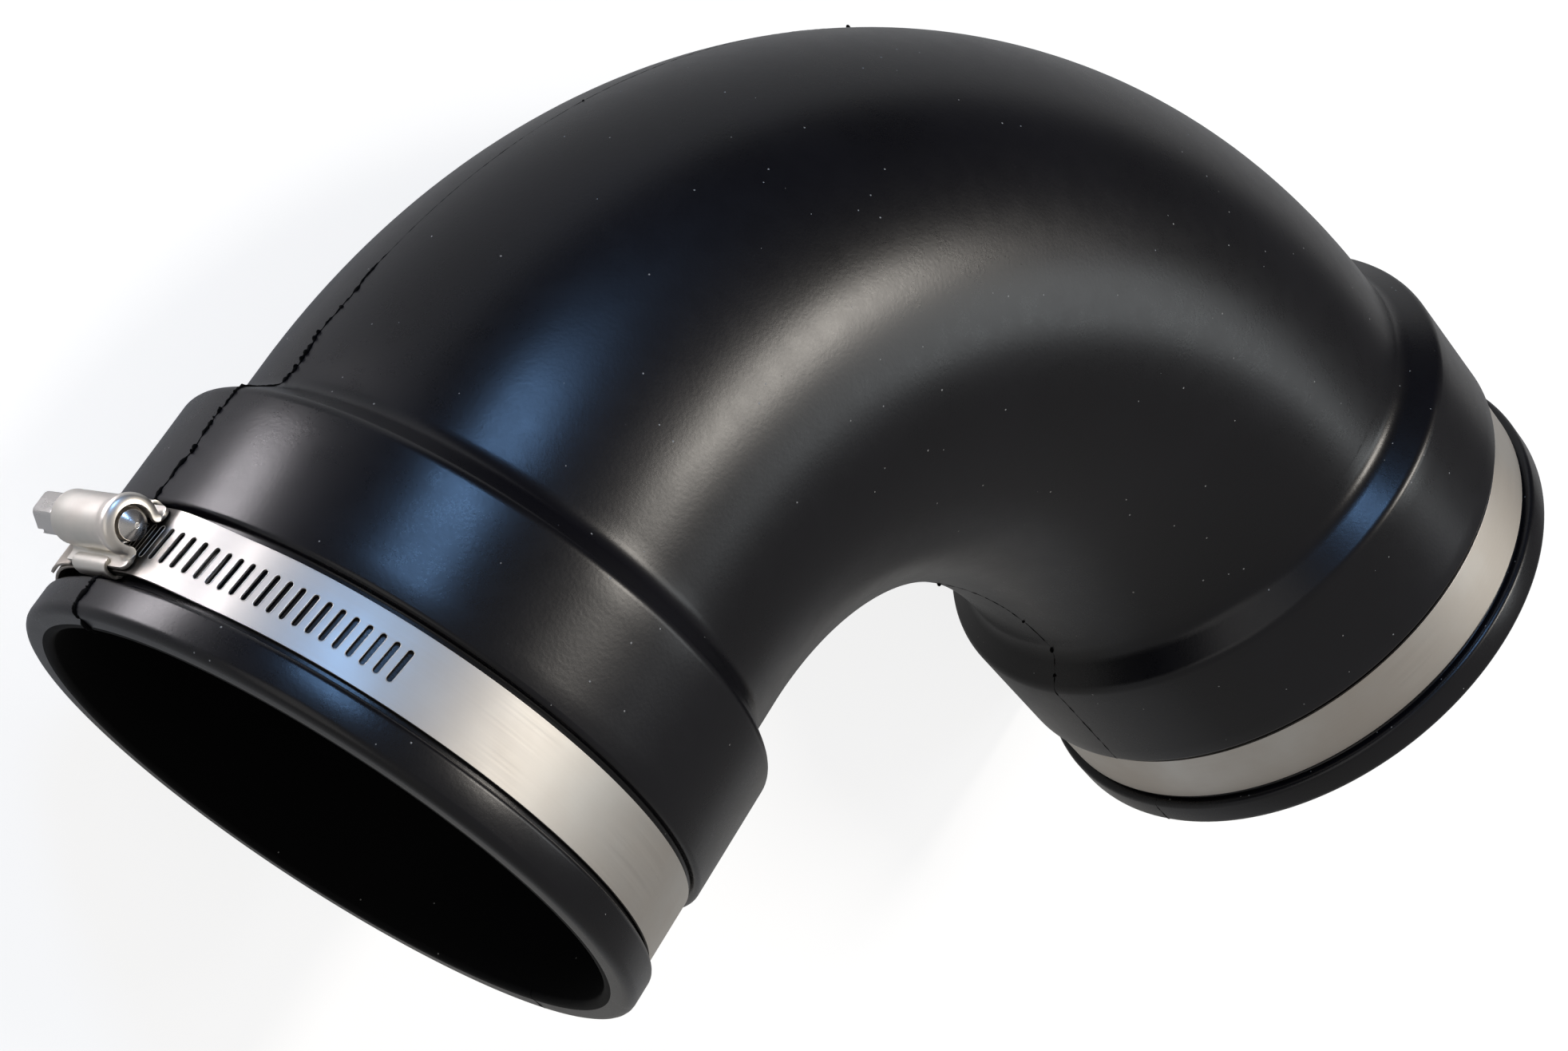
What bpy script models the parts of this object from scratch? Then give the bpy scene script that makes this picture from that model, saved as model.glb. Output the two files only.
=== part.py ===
"""Rubber elbow pipe adapter with a worm-drive band clamp at each mouth.

Run with: blender --background --python part.py
Units are metres and +Z is up. The elbow lies on its side: the bend turns in a level
plane, mouth A opens towards -Y and mouth B towards +X.
"""
import math

import bmesh
import bpy
from mathutils import Matrix, Vector

MM = 0.001

# Elbow: sizes along the centre line and across it
bend_radius = 120.7 * MM
bend_angle = math.radians(90.0)
tube_radius = 54.3 * MM
tube_wall = 6.0 * MM
neck_length_a = 8.4 * MM
neck_length_b = 2.2 * MM
shoulder_length = 5.2 * MM
collar_radius = 60.6 * MM
collar_length_a = 24.0 * MM
collar_length_b = 25.5 * MM
collar_edge_round = 1.2 * MM
groove_depth = 2.0 * MM
lip_length = 7.2 * MM
lip_radius = 61.2 * MM
lip_round = 1.6 * MM
socket_radius = 55.2 * MM
socket_depth = 44.0 * MM
socket_step_length = 3.0 * MM
mouth_chamfer = 1.0 * MM
round_sides = 48
bend_steps_outside = 18
bend_steps_inside = 12

# Band of each clamp, with the slots that the worm drives
band_width = 13.0 * MM
band_thickness = 0.55 * MM
band_side_clearance = 1.3 * MM
band_seat_clearance = 0.3 * MM
layer_clearance = 0.25 * MM
slot_pitch = 2.46 * MM
slot_length = 6.3 * MM
slot_width = 1.15 * MM
slot_end_steps = 2
slot_slant = math.radians(6.0)
slots_per_facet = 3
slot_facets = 9
tail_length = 15.5 * MM
tail_gap = 0.15 * MM
tail_facets = 5
tail_margin = 17.0 * MM
tongue_inset = 2.3 * MM
lift_margin = 1.5 * MM
tip_side_landing = math.radians(24.0)
tip_side_reach = 7.0 * MM
head_side_landing = math.radians(42.0)
head_side_reach = 20.0 * MM
arch_margin = 3.0 * MM
arch_reach = 8.7 * MM
plain_facets = 32
arch_facets = 8
fine_steps = 48

# Saddle under the band, which holds the housing by two folded tabs
saddle_length = 12.0 * MM
saddle_shift = 1.0 * MM
saddle_thickness = 0.6 * MM
tab_length = 10.8 * MM
tab_reach = 1.8 * MM
tab_clearance = 0.25 * MM

# Pressed housing round the worm
sheet_thickness = 0.7 * MM
sheet_clearance = 0.3 * MM
housing_length = 19.8 * MM
flange_inset = 0.3 * MM
bead_length = 3.6 * MM
bead_growth = 0.5 * MM
head_end_rim = 1.0 * MM
barrel_segments = 12

# Worm screw
worm_radius = 3.6 * MM
worm_lift = 0.5 * MM
worm_length = 17.8 * MM
neck_radius = 2.4 * MM
hex_across_flats = 7.0 * MM
hex_height = 6.7 * MM
hex_chamfer = 0.6 * MM
driver_slot_width = 1.2 * MM
driver_slot_depth = 2.2 * MM
tip_taper = 1.0 * MM
tip_land = 0.6 * MM
tip_length = 1.4 * MM
tip_radius = 2.6 * MM
tip_flat_radius = 0.4 * MM
screw_sides = 24

# Each clamp's housing stands on a straight stretch of its band. The stretch touches
# the round of the mouth at this angle from +Z towards the outside of the bend
housing_angle_a = math.radians(88.5)
housing_angle_b = math.radians(132.0)
housing_offset = 2.6 * MM

# Sizes that follow from the ones above
bend_length = bend_radius * bend_angle
groove_radius = collar_radius - groove_depth
groove_width = band_width + 2.0 * band_side_clearance
saddle_bottom = groove_radius + band_seat_clearance
first_layer = saddle_bottom + saddle_thickness + layer_clearance + 0.5 * band_thickness
second_layer = first_layer + band_thickness + layer_clearance
band_line_radius = groove_radius + band_seat_clearance + 0.5 * band_thickness
flange_level = second_layer + 0.5 * band_thickness + layer_clearance + 0.5 * sheet_thickness
worm_axis_height = second_layer + 0.5 * band_thickness + worm_lift + worm_radius
barrel_middle_radius = worm_radius + sheet_clearance + 0.5 * sheet_thickness
housing_front = housing_offset - 0.5 * housing_length
housing_back = housing_offset + 0.5 * housing_length
weld_distance = 0.001 * MM


def clear_scene():
    """Removes what the scene holds."""
    for item in list(bpy.data.objects):
        bpy.data.objects.remove(item, do_unlink=True)


def make_collection(name):
    """Makes a collection and links it to the scene."""
    collection = bpy.data.collections.new(name)
    bpy.context.scene.collection.children.link(collection)
    return collection


def make_material(name, colour, roughness, metallic):
    """Makes a Principled material of one colour."""
    material = bpy.data.materials.new(name)
    material.use_nodes = True
    shader = material.node_tree.nodes["Principled BSDF"]
    shader.inputs["Base Color"].default_value = (*colour, 1.0)
    shader.inputs["Roughness"].default_value = roughness
    shader.inputs["Metallic"].default_value = metallic
    material.diffuse_color = (*colour, 1.0)
    return material


def make_object(name, mesh_data, collection, material, parent):
    """Turns a bmesh into a named object of a collection."""
    mesh = bpy.data.meshes.new(name)
    bmesh.ops.recalc_face_normals(mesh_data, faces=mesh_data.faces)
    mesh_data.to_mesh(mesh)
    mesh_data.free()
    if material:
        mesh.materials.append(material)
    item = bpy.data.objects.new(name, mesh)
    collection.objects.link(item)
    item.parent = parent
    return item


def make_cutter(name, mesh_data, collection, parent):
    """Makes an object that only cuts or joins another one."""
    cutter = make_object(name, mesh_data, collection, None, parent)
    cutter.display_type = "WIRE"
    cutter.hide_render = True
    return cutter


def add_boolean(item, cutter, operation):
    """Cuts or joins one object with another by an exact Boolean."""
    modifier = item.modifiers.new(operation.lower(), "BOOLEAN")
    modifier.object = cutter
    modifier.operation = operation
    modifier.solver = "EXACT"


def add_sheet(item, thickness):
    """Gives an open surface the thickness of a sheet, half to each side."""
    modifier = item.modifiers.new("sheet", "SOLIDIFY")
    modifier.thickness = thickness
    modifier.offset = 0.0
    modifier.use_even_offset = True


def loft(sections, hollow=False):
    """Lofts a closed body through rings of points with equal counts.

    A hollow body's last ring meets its first. Any other body is closed by a flat face
    at each end.
    """
    mesh_data = bmesh.new()
    ring = [mesh_data.verts.new(point) for point in sections[0]]
    count = len(ring)
    edges = [mesh_data.edges.new((ring[i], ring[(i + 1) % count])) for i in range(count)]
    if not hollow:
        bmesh.ops.contextual_create(mesh_data, geom=edges)
    for points in sections[1:] + (sections[:1] if hollow else []):
        grown = bmesh.ops.extrude_edge_only(mesh_data, edges=edges)
        fresh = {item for item in grown["geom"] if isinstance(item, bmesh.types.BMVert)}
        followers = []
        for vert in ring:
            neighbours = [edge.other_vert(vert) for edge in vert.link_edges]
            followers.append(next(other for other in neighbours if other in fresh))
        for vert, point in zip(followers, points):
            vert.co = point
        ring = followers
        edges = [mesh_data.edges.get((ring[i], ring[(i + 1) % count])) for i in range(count)]
    if hollow:
        bmesh.ops.remove_doubles(mesh_data, verts=mesh_data.verts, dist=weld_distance)
    else:
        bmesh.ops.contextual_create(mesh_data, geom=edges)
    return mesh_data


def surface(rows):
    """Makes an open surface through rows of points, and gives its vertices by row."""
    mesh_data = bmesh.new()
    verts = [[mesh_data.verts.new(point) for point in row] for row in rows]
    for row in verts:
        for start, end in zip(row, row[1:]):
            mesh_data.edges.new((start, end))
    for lower, upper in zip(verts, verts[1:]):
        edges = [mesh_data.edges.get(pair) for row in (lower, upper) for pair in zip(row, row[1:])]
        bmesh.ops.bridge_loops(mesh_data, edges=edges)
    return mesh_data, verts


def round_corner(centre, radius, start, end, steps):
    """Gives the points of a rounded corner as (distance, radius)."""
    points = []
    for step in range(steps + 1):
        turn = start + (end - start) * step / steps
        points.append((centre[0] + radius * math.cos(turn), centre[1] + radius * math.sin(turn)))
    return points


def path_frame(distance):
    """Gives the frame of the centre line at a distance from the bend's start near mouth A.

    Local X points to the outside of the bend, and Z along the line towards mouth B.
    """
    turned = min(max(distance / bend_length, 0.0), 1.0) * bend_angle
    outward = Vector((-math.cos(turned), math.sin(turned), 0.0))
    along = Vector((math.sin(turned), math.cos(turned), 0.0))
    beyond = distance if distance < 0.0 else max(distance - bend_length, 0.0)
    frame = Matrix((outward, along.cross(outward), along)).transposed().to_4x4()
    frame.translation = outward * bend_radius + along * beyond
    return frame


def path_ring(distance, radius):
    """Gives the points of a ring round the centre line."""
    frame = path_frame(distance)
    points = []
    for side in range(round_sides):
        turn = math.tau * (side + 0.5) / round_sides
        points.append(frame @ Vector((radius * math.cos(turn), radius * math.sin(turn), 0.0)))
    return points


def groove_middle(neck_length, collar_length):
    """Gives the distance from the bend to the middle of an end's groove."""
    return neck_length + shoulder_length + collar_length + 0.5 * groove_width


def outer_profile(neck_length, collar_length):
    """Gives one end's outer profile, from the bend outwards, as (distance, radius)."""
    edge = collar_edge_round
    quarter = 0.5 * math.pi
    collar_start = neck_length + shoulder_length
    groove_start = collar_start + collar_length
    groove_end = groove_start + groove_width
    mouth = groove_end + lip_length
    profile = [(neck_length, tube_radius)]
    profile += round_corner((collar_start, collar_radius - edge), edge, 1.5 * quarter, quarter, 2)
    profile += round_corner((groove_start - edge, collar_radius - edge), edge, quarter, 0.0, 2)
    profile += [(groove_start, groove_radius), (groove_end, groove_radius)]
    profile += [(groove_end, lip_radius - 0.5 * edge), (groove_end + 0.5 * edge, lip_radius)]
    profile += round_corner((mouth - lip_round, lip_radius - lip_round), lip_round, quarter, 0.0, 3)
    return profile


def inner_profile(neck_length, collar_length):
    """Gives one end's inner profile, from the mouth inwards, as (distance, radius)."""
    mouth = groove_middle(neck_length, collar_length) + 0.5 * groove_width + lip_length
    stop = mouth - socket_depth
    return [
        (mouth, socket_radius + mouth_chamfer),
        (mouth - mouth_chamfer, socket_radius),
        (stop, socket_radius),
        (stop - socket_step_length, tube_radius - tube_wall),
    ]


def build_elbow(collection, material, parent):
    """Builds the moulded elbow: a tube bend with a grooved collar at each end."""
    outside_a = outer_profile(neck_length_a, collar_length_a)
    inside_a = inner_profile(neck_length_a, collar_length_a)
    end_b = outer_profile(neck_length_b, collar_length_b) + inner_profile(neck_length_b, collar_length_b)
    profile = [(-distance, radius) for distance, radius in reversed(outside_a)]
    for step in range(bend_steps_outside + 1):
        profile.append((bend_length * step / bend_steps_outside, tube_radius))
    for distance, radius in end_b:
        profile.append((bend_length + distance, radius))
    for step in range(bend_steps_inside, -1, -1):
        profile.append((bend_length * step / bend_steps_inside, tube_radius - tube_wall))
    profile += [(-distance, radius) for distance, radius in reversed(inside_a)]
    body = loft([path_ring(distance, radius) for distance, radius in profile], hollow=True)
    return make_object("elbow_body", body, collection, material, parent)


def band_round_point(turn):
    """Gives a point of the band's round, turned from the housing towards its tip side."""
    return Vector((band_line_radius * math.cos(turn), -band_line_radius * math.sin(turn)))


def band_round_direction(turn):
    """Gives the direction of travel along the band's round."""
    return Vector((-math.sin(turn), -math.cos(turn)))


def curve_between(start, start_handle, end, end_handle, steps):
    """Gives the points of a smooth curve after its start, up to its end."""
    handles = (start, start + start_handle, end - end_handle, end)
    points = []
    for step in range(1, steps + 1):
        share = step / steps
        rest = 1.0 - share
        weights = (rest ** 3, 3.0 * rest ** 2 * share, 3.0 * rest * share ** 2, share ** 3)
        points.append(sum((h * w for h, w in zip(handles, weights)), Vector((0.0, 0.0))))
    return points


def walk(points, length):
    """Gives the place and direction at a length along a line of points."""
    for start, end in zip(points, points[1:]):
        step = (end - start).length
        if length <= step:
            return start.lerp(end, length / step), (end - start).normalized()
        length -= step
    return points[-1], (points[-1] - points[-2]).normalized()


def arch_line(steps):
    """Gives the band's curve on the head side, from the groove's round to the housing."""
    landing = math.tau - head_side_landing
    back = Vector((first_layer, housing_back - arch_margin))
    start_handle = band_round_direction(landing) * head_side_reach
    end_handle = Vector((0.0, -arch_reach))
    return curve_between(band_round_point(landing), start_handle, back, end_handle, steps)


def tail_line():
    """Gives the free tail, from its end to the housing, just above the band's curve."""
    arch = [band_round_point(math.tau - head_side_landing)] + arch_line(fine_steps)
    backwards = list(reversed(arch))
    points = []
    for step in range(tail_facets, 0, -1):
        place, direction = walk(backwards, tail_length * step / tail_facets)
        gap = band_thickness + layer_clearance + tail_gap * step / tail_facets
        points.append(place + Vector((direction.y, -direction.x)) * gap)
    return points


def band_line():
    """Gives the band's centre line, from its free tail round to the tongue.

    The line runs straight through the housing, lands on the groove's round on the
    tip side, and comes back under the housing from the head side.
    """
    tail = tail_line()
    straight = Vector((second_layer, housing_back - arch_margin))
    leave = Vector((second_layer, housing_front + lift_margin))
    landing = tip_side_landing
    start_handle = Vector((0.0, -tip_side_reach))
    end_handle = band_round_direction(landing) * tip_side_reach
    fine = tail + [straight, leave]
    fine += curve_between(leave, start_handle, band_round_point(landing), end_handle, fine_steps)
    fine += [band_round_point(landing + math.radians(step)) for step in range(1, 200)]
    line = tail + [straight]
    for facet in range(slot_facets + 1):
        line.append(walk(fine, tail_margin + facet * slots_per_facet * slot_pitch)[0])
    turn_limit = math.tau - head_side_landing
    last_turn = math.atan2(-line[-1].y, line[-1].x)
    for facet in range(1, plain_facets + 1):
        line.append(band_round_point(last_turn + (turn_limit - last_turn) * facet / plain_facets))
    line += arch_line(arch_facets)
    line.append(Vector((first_layer, housing_front + tongue_inset)))
    return line


def build_band(name, collection, cutters, material, parent):
    """Builds the steel band: one slotted strip that laps over itself in the housing."""
    line = band_line()
    half = 0.5 * band_width
    sections = []
    for index, point in enumerate(line):
        before = line[max(index - 1, 0)]
        after = line[min(index + 1, len(line) - 1)]
        direction = (after - before).normalized()
        normal = Vector((-direction.y, direction.x)) * 0.5 * band_thickness
        corners = ((point - normal, -half), (point - normal, half), (point + normal, half), (point + normal, -half))
        sections.append([Vector((place.x, place.y, axial)) for place, axial in corners])
    band = make_object(name, loft(sections), collection, material, parent)
    add_boolean(band, build_slot_cutters(name + "_slots", line, cutters, parent), "DIFFERENCE")
    return band


def slot_outline():
    """Gives a slot's outline, along and across the band, with rounded ends and its slant."""
    straight = 0.5 * (slot_length - slot_width)
    points = []
    for end in (1.0, -1.0):
        for step in range(slot_end_steps + 1):
            turn = math.pi * step / slot_end_steps
            along = end * 0.5 * slot_width * math.cos(turn)
            across = end * (straight + 0.5 * slot_width * math.sin(turn))
            points.append(Matrix.Rotation(slot_slant, 2) @ Vector((along, across)))
    return points


def build_slot_cutters(name, line, collection, parent):
    """Builds one solid for each slot of the band, all in one object."""
    mesh_data = bmesh.new()
    outline = slot_outline()
    reach = 0.5 * (band_thickness + layer_clearance)
    for index in range(slots_per_facet * slot_facets):
        place, direction = walk(line, tail_margin + (index + 0.5) * slot_pitch)
        normal = Vector((-direction.y, direction.x))
        edges = []
        for level in (-reach, reach):
            ring = []
            for along, across in outline:
                point = place + normal * level + direction * along
                ring.append(mesh_data.verts.new((point.x, point.y, across)))
            edges += mesh_data.faces.new(ring).edges
        bmesh.ops.bridge_loops(mesh_data, edges=edges)
    return make_cutter(name, mesh_data, collection, parent)


def build_saddle(name, collection, material, parent):
    """Builds the saddle: a strip under the band with a tab folded over each side."""
    level = saddle_bottom + 0.5 * saddle_thickness
    half_width = 0.5 * band_width
    fold_out = half_width + tab_clearance + 0.5 * saddle_thickness
    fold_top = flange_level + 0.5 * sheet_thickness + tab_clearance + 0.5 * saddle_thickness
    rows = []
    for along in (-0.5 * saddle_length, -0.5 * tab_length, 0.5 * tab_length, 0.5 * saddle_length):
        place = housing_offset + saddle_shift + along
        rows.append([Vector((level, place, -half_width)), Vector((level, place, half_width))])
    mesh_data, verts = surface(rows)
    folds = ((level, fold_out), (fold_top, fold_out), (fold_top, fold_out - tab_reach))
    for side, sign in ((0, -1.0), (1, 1.0)):
        edge = mesh_data.edges.get((verts[1][side], verts[2][side]))
        for radial, axial in folds:
            grown = bmesh.ops.extrude_edge_only(mesh_data, edges=[edge])["geom"]
            fresh = [item for item in grown if isinstance(item, bmesh.types.BMVert)]
            for vert in fresh:
                vert.co.x = radial
                vert.co.z = sign * axial
            edge = mesh_data.edges.get(fresh)
    saddle = make_object(name, mesh_data, collection, material, parent)
    add_sheet(saddle, saddle_thickness)
    return saddle


def barrel_row(along, radius):
    """Gives one row of points across the barrel, from one flange's edge to the other's."""
    opening = math.acos((worm_axis_height - flange_level) / radius)
    place = housing_offset - along
    row = []
    for step in range(barrel_segments + 1):
        turn = math.pi - opening - (math.tau - 2.0 * opening) * step / barrel_segments
        row.append(Vector((worm_axis_height + radius * math.cos(turn), place, radius * math.sin(turn))))
    return row


def build_housing(name, collection, material, parent):
    """Builds the pressed housing: flanges on the band and a beaded barrel round the worm."""
    half = 0.5 * housing_length
    bead_radius = barrel_middle_radius + bead_growth
    flange_edge = 0.5 * band_width - flange_inset
    rows = []
    for along, radius in (
        (-half, barrel_middle_radius),
        (0.0, barrel_middle_radius),
        (half - bead_length, barrel_middle_radius),
        (half - 0.6 * bead_length, bead_radius),
        (half - 0.3 * bead_length, bead_radius),
        (half, barrel_middle_radius),
    ):
        row = [Vector((flange_level, housing_offset - along, flange_edge))]
        row += barrel_row(along, radius)
        row.append(Vector((flange_level, housing_offset - along, -flange_edge)))
        rows.append(row)
    mesh_data, verts = surface(rows)
    barrel_end = verts[0][1:-1]
    edges = [mesh_data.edges.get(pair) for pair in zip(barrel_end, barrel_end[1:])]
    grown = bmesh.ops.extrude_edge_only(mesh_data, edges=edges)["geom"]
    shrink = 1.0 - head_end_rim / barrel_middle_radius
    for vert in [item for item in grown if isinstance(item, bmesh.types.BMVert)]:
        vert.co.x = worm_axis_height + (vert.co.x - worm_axis_height) * shrink
        vert.co.z *= shrink
    housing = make_object(name, mesh_data, collection, material, parent)
    add_sheet(housing, sheet_thickness)
    return housing


def screw_profile():
    """Gives the turned screw's profile from inside its head to its tip, as (radius, place)."""
    seat = -0.5 * housing_length - 0.5 * sheet_thickness - sheet_clearance
    worm_start = -0.5 * housing_length + 0.5 * sheet_thickness + sheet_clearance
    worm_end = worm_start + worm_length
    tip_start = worm_end + tip_taper
    cone_start = tip_start + tip_land
    return [
        (0.0, seat - 0.4 * hex_height),
        (neck_radius, seat - 0.4 * hex_height),
        (neck_radius, worm_start),
        (worm_radius, worm_start),
        (worm_radius, worm_end),
        (tip_radius, tip_start),
        (tip_radius, cone_start),
        (tip_flat_radius, cone_start + tip_length),
        (0.0, cone_start + tip_length),
    ]


def build_hexagon(name, collection, parent):
    """Builds the hexagon that is joined to the turned screw, with a chamfered end."""
    seat = -0.5 * housing_length - 0.5 * sheet_thickness - sheet_clearance
    corner = hex_across_flats / math.sqrt(3.0)
    sections = []
    for level, radius in (
        (seat, corner),
        (seat - hex_height + hex_chamfer, corner),
        (seat - hex_height, corner - hex_chamfer),
    ):
        turns = [math.tau * (side + 0.5) / 6.0 for side in range(6)]
        sections.append([Vector((radius * math.cos(t), radius * math.sin(t), level)) for t in turns])
    return make_cutter(name, loft(sections), collection, parent)


def build_screw(name, collection, cutters, material, parent):
    """Builds the worm screw on its own axis: a turned worm with a slotted hexagon head."""
    mesh_data = bmesh.new()
    verts = [mesh_data.verts.new((radius, 0.0, place)) for radius, place in screw_profile()]
    for start, end in zip(verts, verts[1:]):
        mesh_data.edges.new((start, end))
    screw = make_object(name, mesh_data, collection, material, parent)
    turned = screw.modifiers.new("turned", "SCREW")
    turned.axis = "Z"
    turned.steps = screw_sides
    turned.render_steps = screw_sides
    turned.use_merge_vertices = True
    turned.merge_threshold = weld_distance
    turned.use_normal_calculate = True
    screw.location = (worm_axis_height, housing_offset, 0.0)
    screw.rotation_euler = (0.5 * math.pi, 0.0, 0.0)
    add_boolean(screw, build_hexagon(name + "_hexagon", cutters, screw), "UNION")
    slot = bmesh.new()
    outer_end = -0.5 * housing_length - 0.5 * sheet_thickness - sheet_clearance - hex_height
    size = (driver_slot_width, 2.0 * hex_across_flats, 2.0 * driver_slot_depth, 1.0)
    place = Matrix.Translation((0.0, 0.0, outer_end)) @ Matrix.Diagonal(size)
    bmesh.ops.create_cube(slot, size=1.0, matrix=place)
    add_boolean(screw, make_cutter(name + "_slot", slot, cutters, screw), "DIFFERENCE")
    return screw


def build_clamp(prefix, distance, outward_sign, housing_angle, collection, cutters, parent):
    """Builds one clamp in the frame of its ring: X to the housing and Z out of the mouth."""
    centre = path_frame(distance)
    away = centre.to_3x3() @ Vector((0.0, 0.0, outward_sign))
    outside = centre.to_3x3() @ Vector((1.0, 0.0, 0.0))
    radial = outside * math.sin(housing_angle) + Vector((0.0, 0.0, math.cos(housing_angle)))
    ring = bpy.data.objects.new(prefix + "_ring", None)
    collection.objects.link(ring)
    ring.parent = parent
    ring.matrix_basis = Matrix((radial, away.cross(radial), away)).transposed().to_4x4()
    ring.location = centre.translation
    band_steel = make_material(prefix + "_band_steel", (0.78, 0.77, 0.75), 0.32, 1.0)
    pressed_steel = make_material(prefix + "_pressed_steel", (0.70, 0.68, 0.66), 0.38, 1.0)
    saddle_steel = make_material(prefix + "_saddle_steel", (0.68, 0.67, 0.65), 0.36, 1.0)
    screw_steel = make_material(prefix + "_screw_steel", (0.66, 0.66, 0.66), 0.28, 1.0)
    build_band(prefix + "_band", collection, cutters, band_steel, ring)
    build_saddle(prefix + "_saddle", collection, saddle_steel, ring)
    build_housing(prefix + "_housing", collection, pressed_steel, ring)
    build_screw(prefix + "_screw", collection, cutters, screw_steel, ring)


def stand_on_origin(collection, base):
    """Moves the whole object so that the origin is under its middle, at its lowest point."""
    bpy.context.view_layer.update()
    graph = bpy.context.evaluated_depsgraph_get()
    corners = []
    for item in collection.objects:
        if item.type == "MESH":
            solid = item.evaluated_get(graph)
            corners += [item.matrix_world @ vert.co for vert in solid.data.vertices]
    low = Vector([min(corner[axis] for corner in corners) for axis in range(3)])
    high = Vector([max(corner[axis] for corner in corners) for axis in range(3)])
    base.location = (-0.5 * (low.x + high.x), -0.5 * (low.y + high.y), -low.z)
    bpy.context.view_layer.update()


def main():
    """Builds the elbow and its two clamps."""
    clear_scene()
    parts = make_collection("rubber_elbow_pipe_adapter")
    cutters = make_collection("cutters")
    cutters.hide_render = True
    base = bpy.data.objects.new("base_frame", None)
    parts.objects.link(base)
    rubber = make_material("black_rubber", (0.035, 0.034, 0.038), 0.45, 0.0)
    build_elbow(parts, rubber, base)
    place_a = -groove_middle(neck_length_a, collar_length_a)
    place_b = bend_length + groove_middle(neck_length_b, collar_length_b)
    build_clamp("clamp_a", place_a, -1.0, housing_angle_a, parts, cutters, base)
    build_clamp("clamp_b", place_b, 1.0, housing_angle_b, parts, cutters, base)
    stand_on_origin(parts, base)


main()
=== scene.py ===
"""Dressed model of a rubber elbow pipe adapter with a worm-drive band clamp at each mouth.

The elbow lies on its side. Mouth A opens towards -Y and mouth B towards +X. Everything is in
metres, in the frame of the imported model. Each clamp is built in the frame of its own ring:
X points from the mouth's centre to the clamp's housing, Y along the worm towards its
hexagon, and Z out of the mouth.
"""

import logging
import math
from bisect import bisect_right
from dataclasses import dataclass
from enum import Enum

import bmesh
import bpy
from mathutils import Matrix, Vector


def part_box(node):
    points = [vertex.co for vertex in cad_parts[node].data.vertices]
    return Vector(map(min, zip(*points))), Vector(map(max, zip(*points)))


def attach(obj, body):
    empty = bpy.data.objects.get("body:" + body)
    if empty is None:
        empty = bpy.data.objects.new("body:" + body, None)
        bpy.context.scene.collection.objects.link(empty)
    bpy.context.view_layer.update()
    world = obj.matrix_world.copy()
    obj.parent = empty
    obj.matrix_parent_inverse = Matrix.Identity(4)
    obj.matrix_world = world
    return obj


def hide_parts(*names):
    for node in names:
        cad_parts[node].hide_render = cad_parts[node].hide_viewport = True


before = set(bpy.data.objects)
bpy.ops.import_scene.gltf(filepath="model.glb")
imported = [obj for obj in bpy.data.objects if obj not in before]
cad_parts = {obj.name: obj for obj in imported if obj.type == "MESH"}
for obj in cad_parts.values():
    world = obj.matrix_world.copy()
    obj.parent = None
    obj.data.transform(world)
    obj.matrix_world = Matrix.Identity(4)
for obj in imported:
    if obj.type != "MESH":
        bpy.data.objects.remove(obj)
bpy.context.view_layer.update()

MM = 0.001
DOUBLED = 0.0005 * MM
SHARP_EDGE = math.radians(40.0)
LOG = logging.getLogger("elbow")
Line = list[Vector]


class Mouth(Enum):
    """The two mouths of the elbow, by the letter in their pieces' names."""

    A = "a"
    B = "b"


HOUSING_ANGLES = {Mouth.A: math.radians(88.5), Mouth.B: math.radians(132.0)}


# ---- Small makers of shapes ----


def rounded_line(corners: Line, radii: list[float], steps: int = 5) -> Line:
    """Rounds the inner corners of an open line.

    Args:
        corners: the line's corners, in 2-D.
        radii: the radius at each corner, 0 for a sharp one.
        steps: the steps of each rounded corner.

    Returns:
        The points of the rounded line.
    """
    points = [corners[0]]
    for before, corner, after, radius in zip(corners, corners[1:], corners[2:], radii[1:]):
        back, ahead = (before - corner).normalized(), (after - corner).normalized()
        if radius <= 0.0:
            points.append(corner)
            continue
        half = 0.5 * back.angle(ahead)
        centre = corner + (back + ahead).normalized() * (radius / math.sin(half))
        start = corner + back * (radius / math.tan(half)) - centre
        sweep = math.pi - 2.0 * half
        turn = 1.0 if start.y * back.x - start.x * back.y > 0.0 else -1.0
        for step in range(steps + 1):
            angle = turn * sweep * step / steps
            points.append(centre + Matrix.Rotation(angle, 2) @ start)
    points.append(corners[-1])
    return points


def smooth_between(start: Vector, leave: Vector, end: Vector, arrive: Vector, steps: int) -> Line:
    """Gives a cubic curve's points after its start, up to its end.

    Args:
        start: where the curve starts.
        leave: its handle there.
        end: where the curve ends.
        arrive: its handle there, along the direction of travel.
        steps: the number of points.

    Returns:
        The curve's points.
    """
    handles = (start, start + leave, end - arrive, end)
    points = []
    for step in range(1, steps + 1):
        share = step / steps
        rest = 1.0 - share
        weights = (rest**3, 3.0 * rest**2 * share, 3.0 * rest * share**2, share**3)
        points.append(sum((h * w for h, w in zip(handles, weights)), Vector((0.0, 0.0))))
    return points


def grid_faces(rows: int, columns: int, close_rows: bool, close_columns: bool) -> list[tuple]:
    """Gives the faces of a grid of points, as tuples of indices.

    Args:
        rows: the number of rows.
        columns: the number of points in a row.
        close_rows: whether the last row meets the first.
        close_columns: whether each row is a ring.

    Returns:
        The faces.
    """
    faces = []
    for row in range(rows if close_rows else rows - 1):
        low, high = row * columns, (row + 1) % rows * columns
        for column in range(columns if close_columns else columns - 1):
            side = (column + 1) % columns
            faces.append((low + column, low + side, high + side, high + column))
    return faces


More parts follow.
